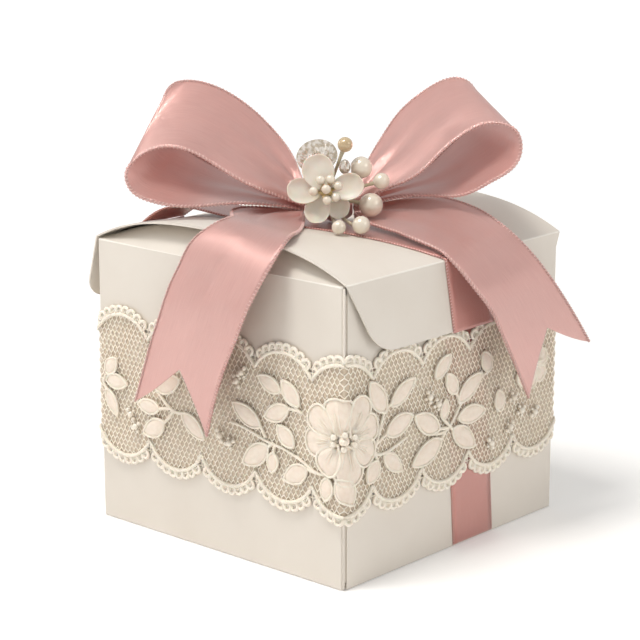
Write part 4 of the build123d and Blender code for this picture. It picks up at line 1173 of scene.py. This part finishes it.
# Crystal fan leaf: ribs spread from a foot at the lower edge, each cut into small facets.
LEAF_AT, LEAF_TURN = (-3.7, -11, 115.4), math.radians(12)
ribs, rings = 26, 11
fan = Mesh()
angle = np.linspace(0, 2 * math.pi, ribs * 2 + 1)[:-1]
share = np.linspace(0.02, 1, rings)
aa, ss = np.meshgrid(angle, share, indexing="ij")
edge_x, edge_y = 6.2 * np.cos(aa), 5.0 * np.sin(aa)
foot = np.array([0.6, -4.2])
x = foot[0] + (edge_x - foot[0]) * ss
y = foot[1] + (edge_y - foot[1]) * ss
ridge = np.where(np.arange(ribs * 2) % 2 == 0, 1.0, 0.25)[:, None]
cuts = np.where(np.arange(rings) % 2 == 0, 1.0, 0.55)[None, :]
lift = 0.75 * (1 - ss ** 4) * (0.35 + 0.65 * ridge * cuts)
outer = np.stack([x, y, 0.3 + lift], -1)
inner = np.stack([x, y, -0.2 - 0.5 * lift], -1)
sheet = np.concatenate([outer, inner[:, ::-1]], axis=1).transpose(1, 0, 2)


def on_leaf(points):
    x = points[:, 0] * math.cos(LEAF_TURN) - points[:, 1] * math.sin(LEAF_TURN)
    y = points[:, 0] * math.sin(LEAF_TURN) + points[:, 1] * math.cos(LEAF_TURN)
    return np.array([from_bow((LEAF_AT[0] + a, LEAF_AT[1] - 0.7 - c, LEAF_AT[2] + b))
                     for a, b, c in zip(x, y, points[:, 2])])


fan.add(on_leaf(sheet.reshape(-1, 3)), grid_faces(2 * rings, ribs * 2, wrap=True))
fan.faces.append(np.array([list(range(ribs * 2))[::-1]]))
fan.faces.append(np.array([list(range((2 * rings - 1) * ribs * 2, 2 * rings * ribs * 2))]))
lid_object("crystal_fan", fan, CRYSTAL, "crystal", "crystal_leaf", smooth=False)

bud = Mesh()
turns = np.linspace(0, 2 * math.pi, 17)[:-1]
climb = np.linspace(-1, 1, 11)
tt, cc = np.meshgrid(climb, turns, indexing="ij")
wide = 1.5 * np.sqrt(np.clip(1 - tt ** 2, 0, 1)) ** 1.1 * (1 + 0.1 * np.cos(8 * cc)) + 0.06
spots = np.stack([wide * np.cos(cc + 0.2 * tt), wide * np.sin(cc + 0.2 * tt), 2.32 * tt], -1)
bud_at = from_bow((4.6, -12, 112.2))
bud.add(spots.reshape(-1, 3) + bud_at, grid_faces(11, 16, wrap=True))
bud.faces.append(np.array([list(range(16))[::-1]]))
bud.faces.append(np.array([list(range(160, 176))]))
lid_object("crystal_drop", bud, CRYSTAL, "crystal", "crystal_bud", smooth=False)


# The south-east fold of the sleeve is rounded, so no slot shows where the two walls meet.
corner = Mesh()
tube(corner, [(HALF - 0.42, 0.42 - HALF, 0.6), (HALF - 0.42, 0.42 - HALF, TOP_Z / 2),
              (HALF - 0.42, 0.42 - HALF, TOP_Z - 0.5)], 0.36, sides=12)
corner.make("carton_corner", CARTON_CARD, "carton")


# ---- stage, lights and camera -----------------------------------------------------------------
mesh = bpy.data.meshes.new("floor")
REACH = 3.0
mesh.from_pydata([(x * REACH, y * REACH, 0) for x, y in ((-1, -1), (1, -1), (1, 1), (-1, 1))], [],
                 [(0, 1, 2, 3)])
mesh.materials.append(FLOOR)
floor = bpy.data.objects.new("floor", mesh)
bpy.context.scene.collection.objects.link(floor)

world = bpy.data.worlds.new("studio")
world.use_nodes = True
world.node_tree.nodes["Background"].inputs["Color"].default_value = (1.0, 1.0, 1.0, 1.0)
world.node_tree.nodes["Background"].inputs["Strength"].default_value = 0.56
bpy.context.scene.world = world
bpy.context.scene.view_settings.view_transform = "Standard"


def aimed(light, spot, aim=(0, 0, 0.06)):
    lamp = bpy.data.objects.new(light.name, light)
    lamp.location = spot
    lamp.rotation_euler = (Vector(aim) - Vector(spot)).to_track_quat("-Z", "Y").to_euler()
    bpy.context.scene.collection.objects.link(lamp)


def softbox(name, spot, size, power, colour=(1.0, 0.98, 0.95)):
    light = bpy.data.lights.new(name, "AREA")
    light.shape = "RECTANGLE"
    light.size, light.size_y = size
    light.energy = power
    light.color = colour
    aimed(light, spot)


sun = bpy.data.lights.new("window", "SUN")
sun.angle = math.radians(25)
sun.energy = 0.3
sun.color = (1.0, 0.99, 0.97)
aimed(sun, (-0.3, -0.62, 0.8))
softbox("overhead", (-0.05, -0.3, 0.85), (0.22, 0.22), 3.8)
softbox("left", (-0.7, -0.35, 0.4), (0.2, 0.5), 0.8)
softbox("right", (0.75, 0.15, 0.45), (0.25, 0.4), 0.9)

camera = bpy.data.cameras.new("camera")
camera.lens = 119.8
camera.sensor_width = 36
camera.clip_start = 0.01
view = bpy.data.objects.new("camera", camera)
view.location = (0.4238, -0.4789, 0.2228)
sight = Vector((-0.0048, 0.0013, 0.061)) - Vector(view.location)
view.rotation_euler = sight.to_track_quat("-Z", "Y").to_euler()
bpy.context.scene.collection.objects.link(view)
bpy.context.scene.camera = view
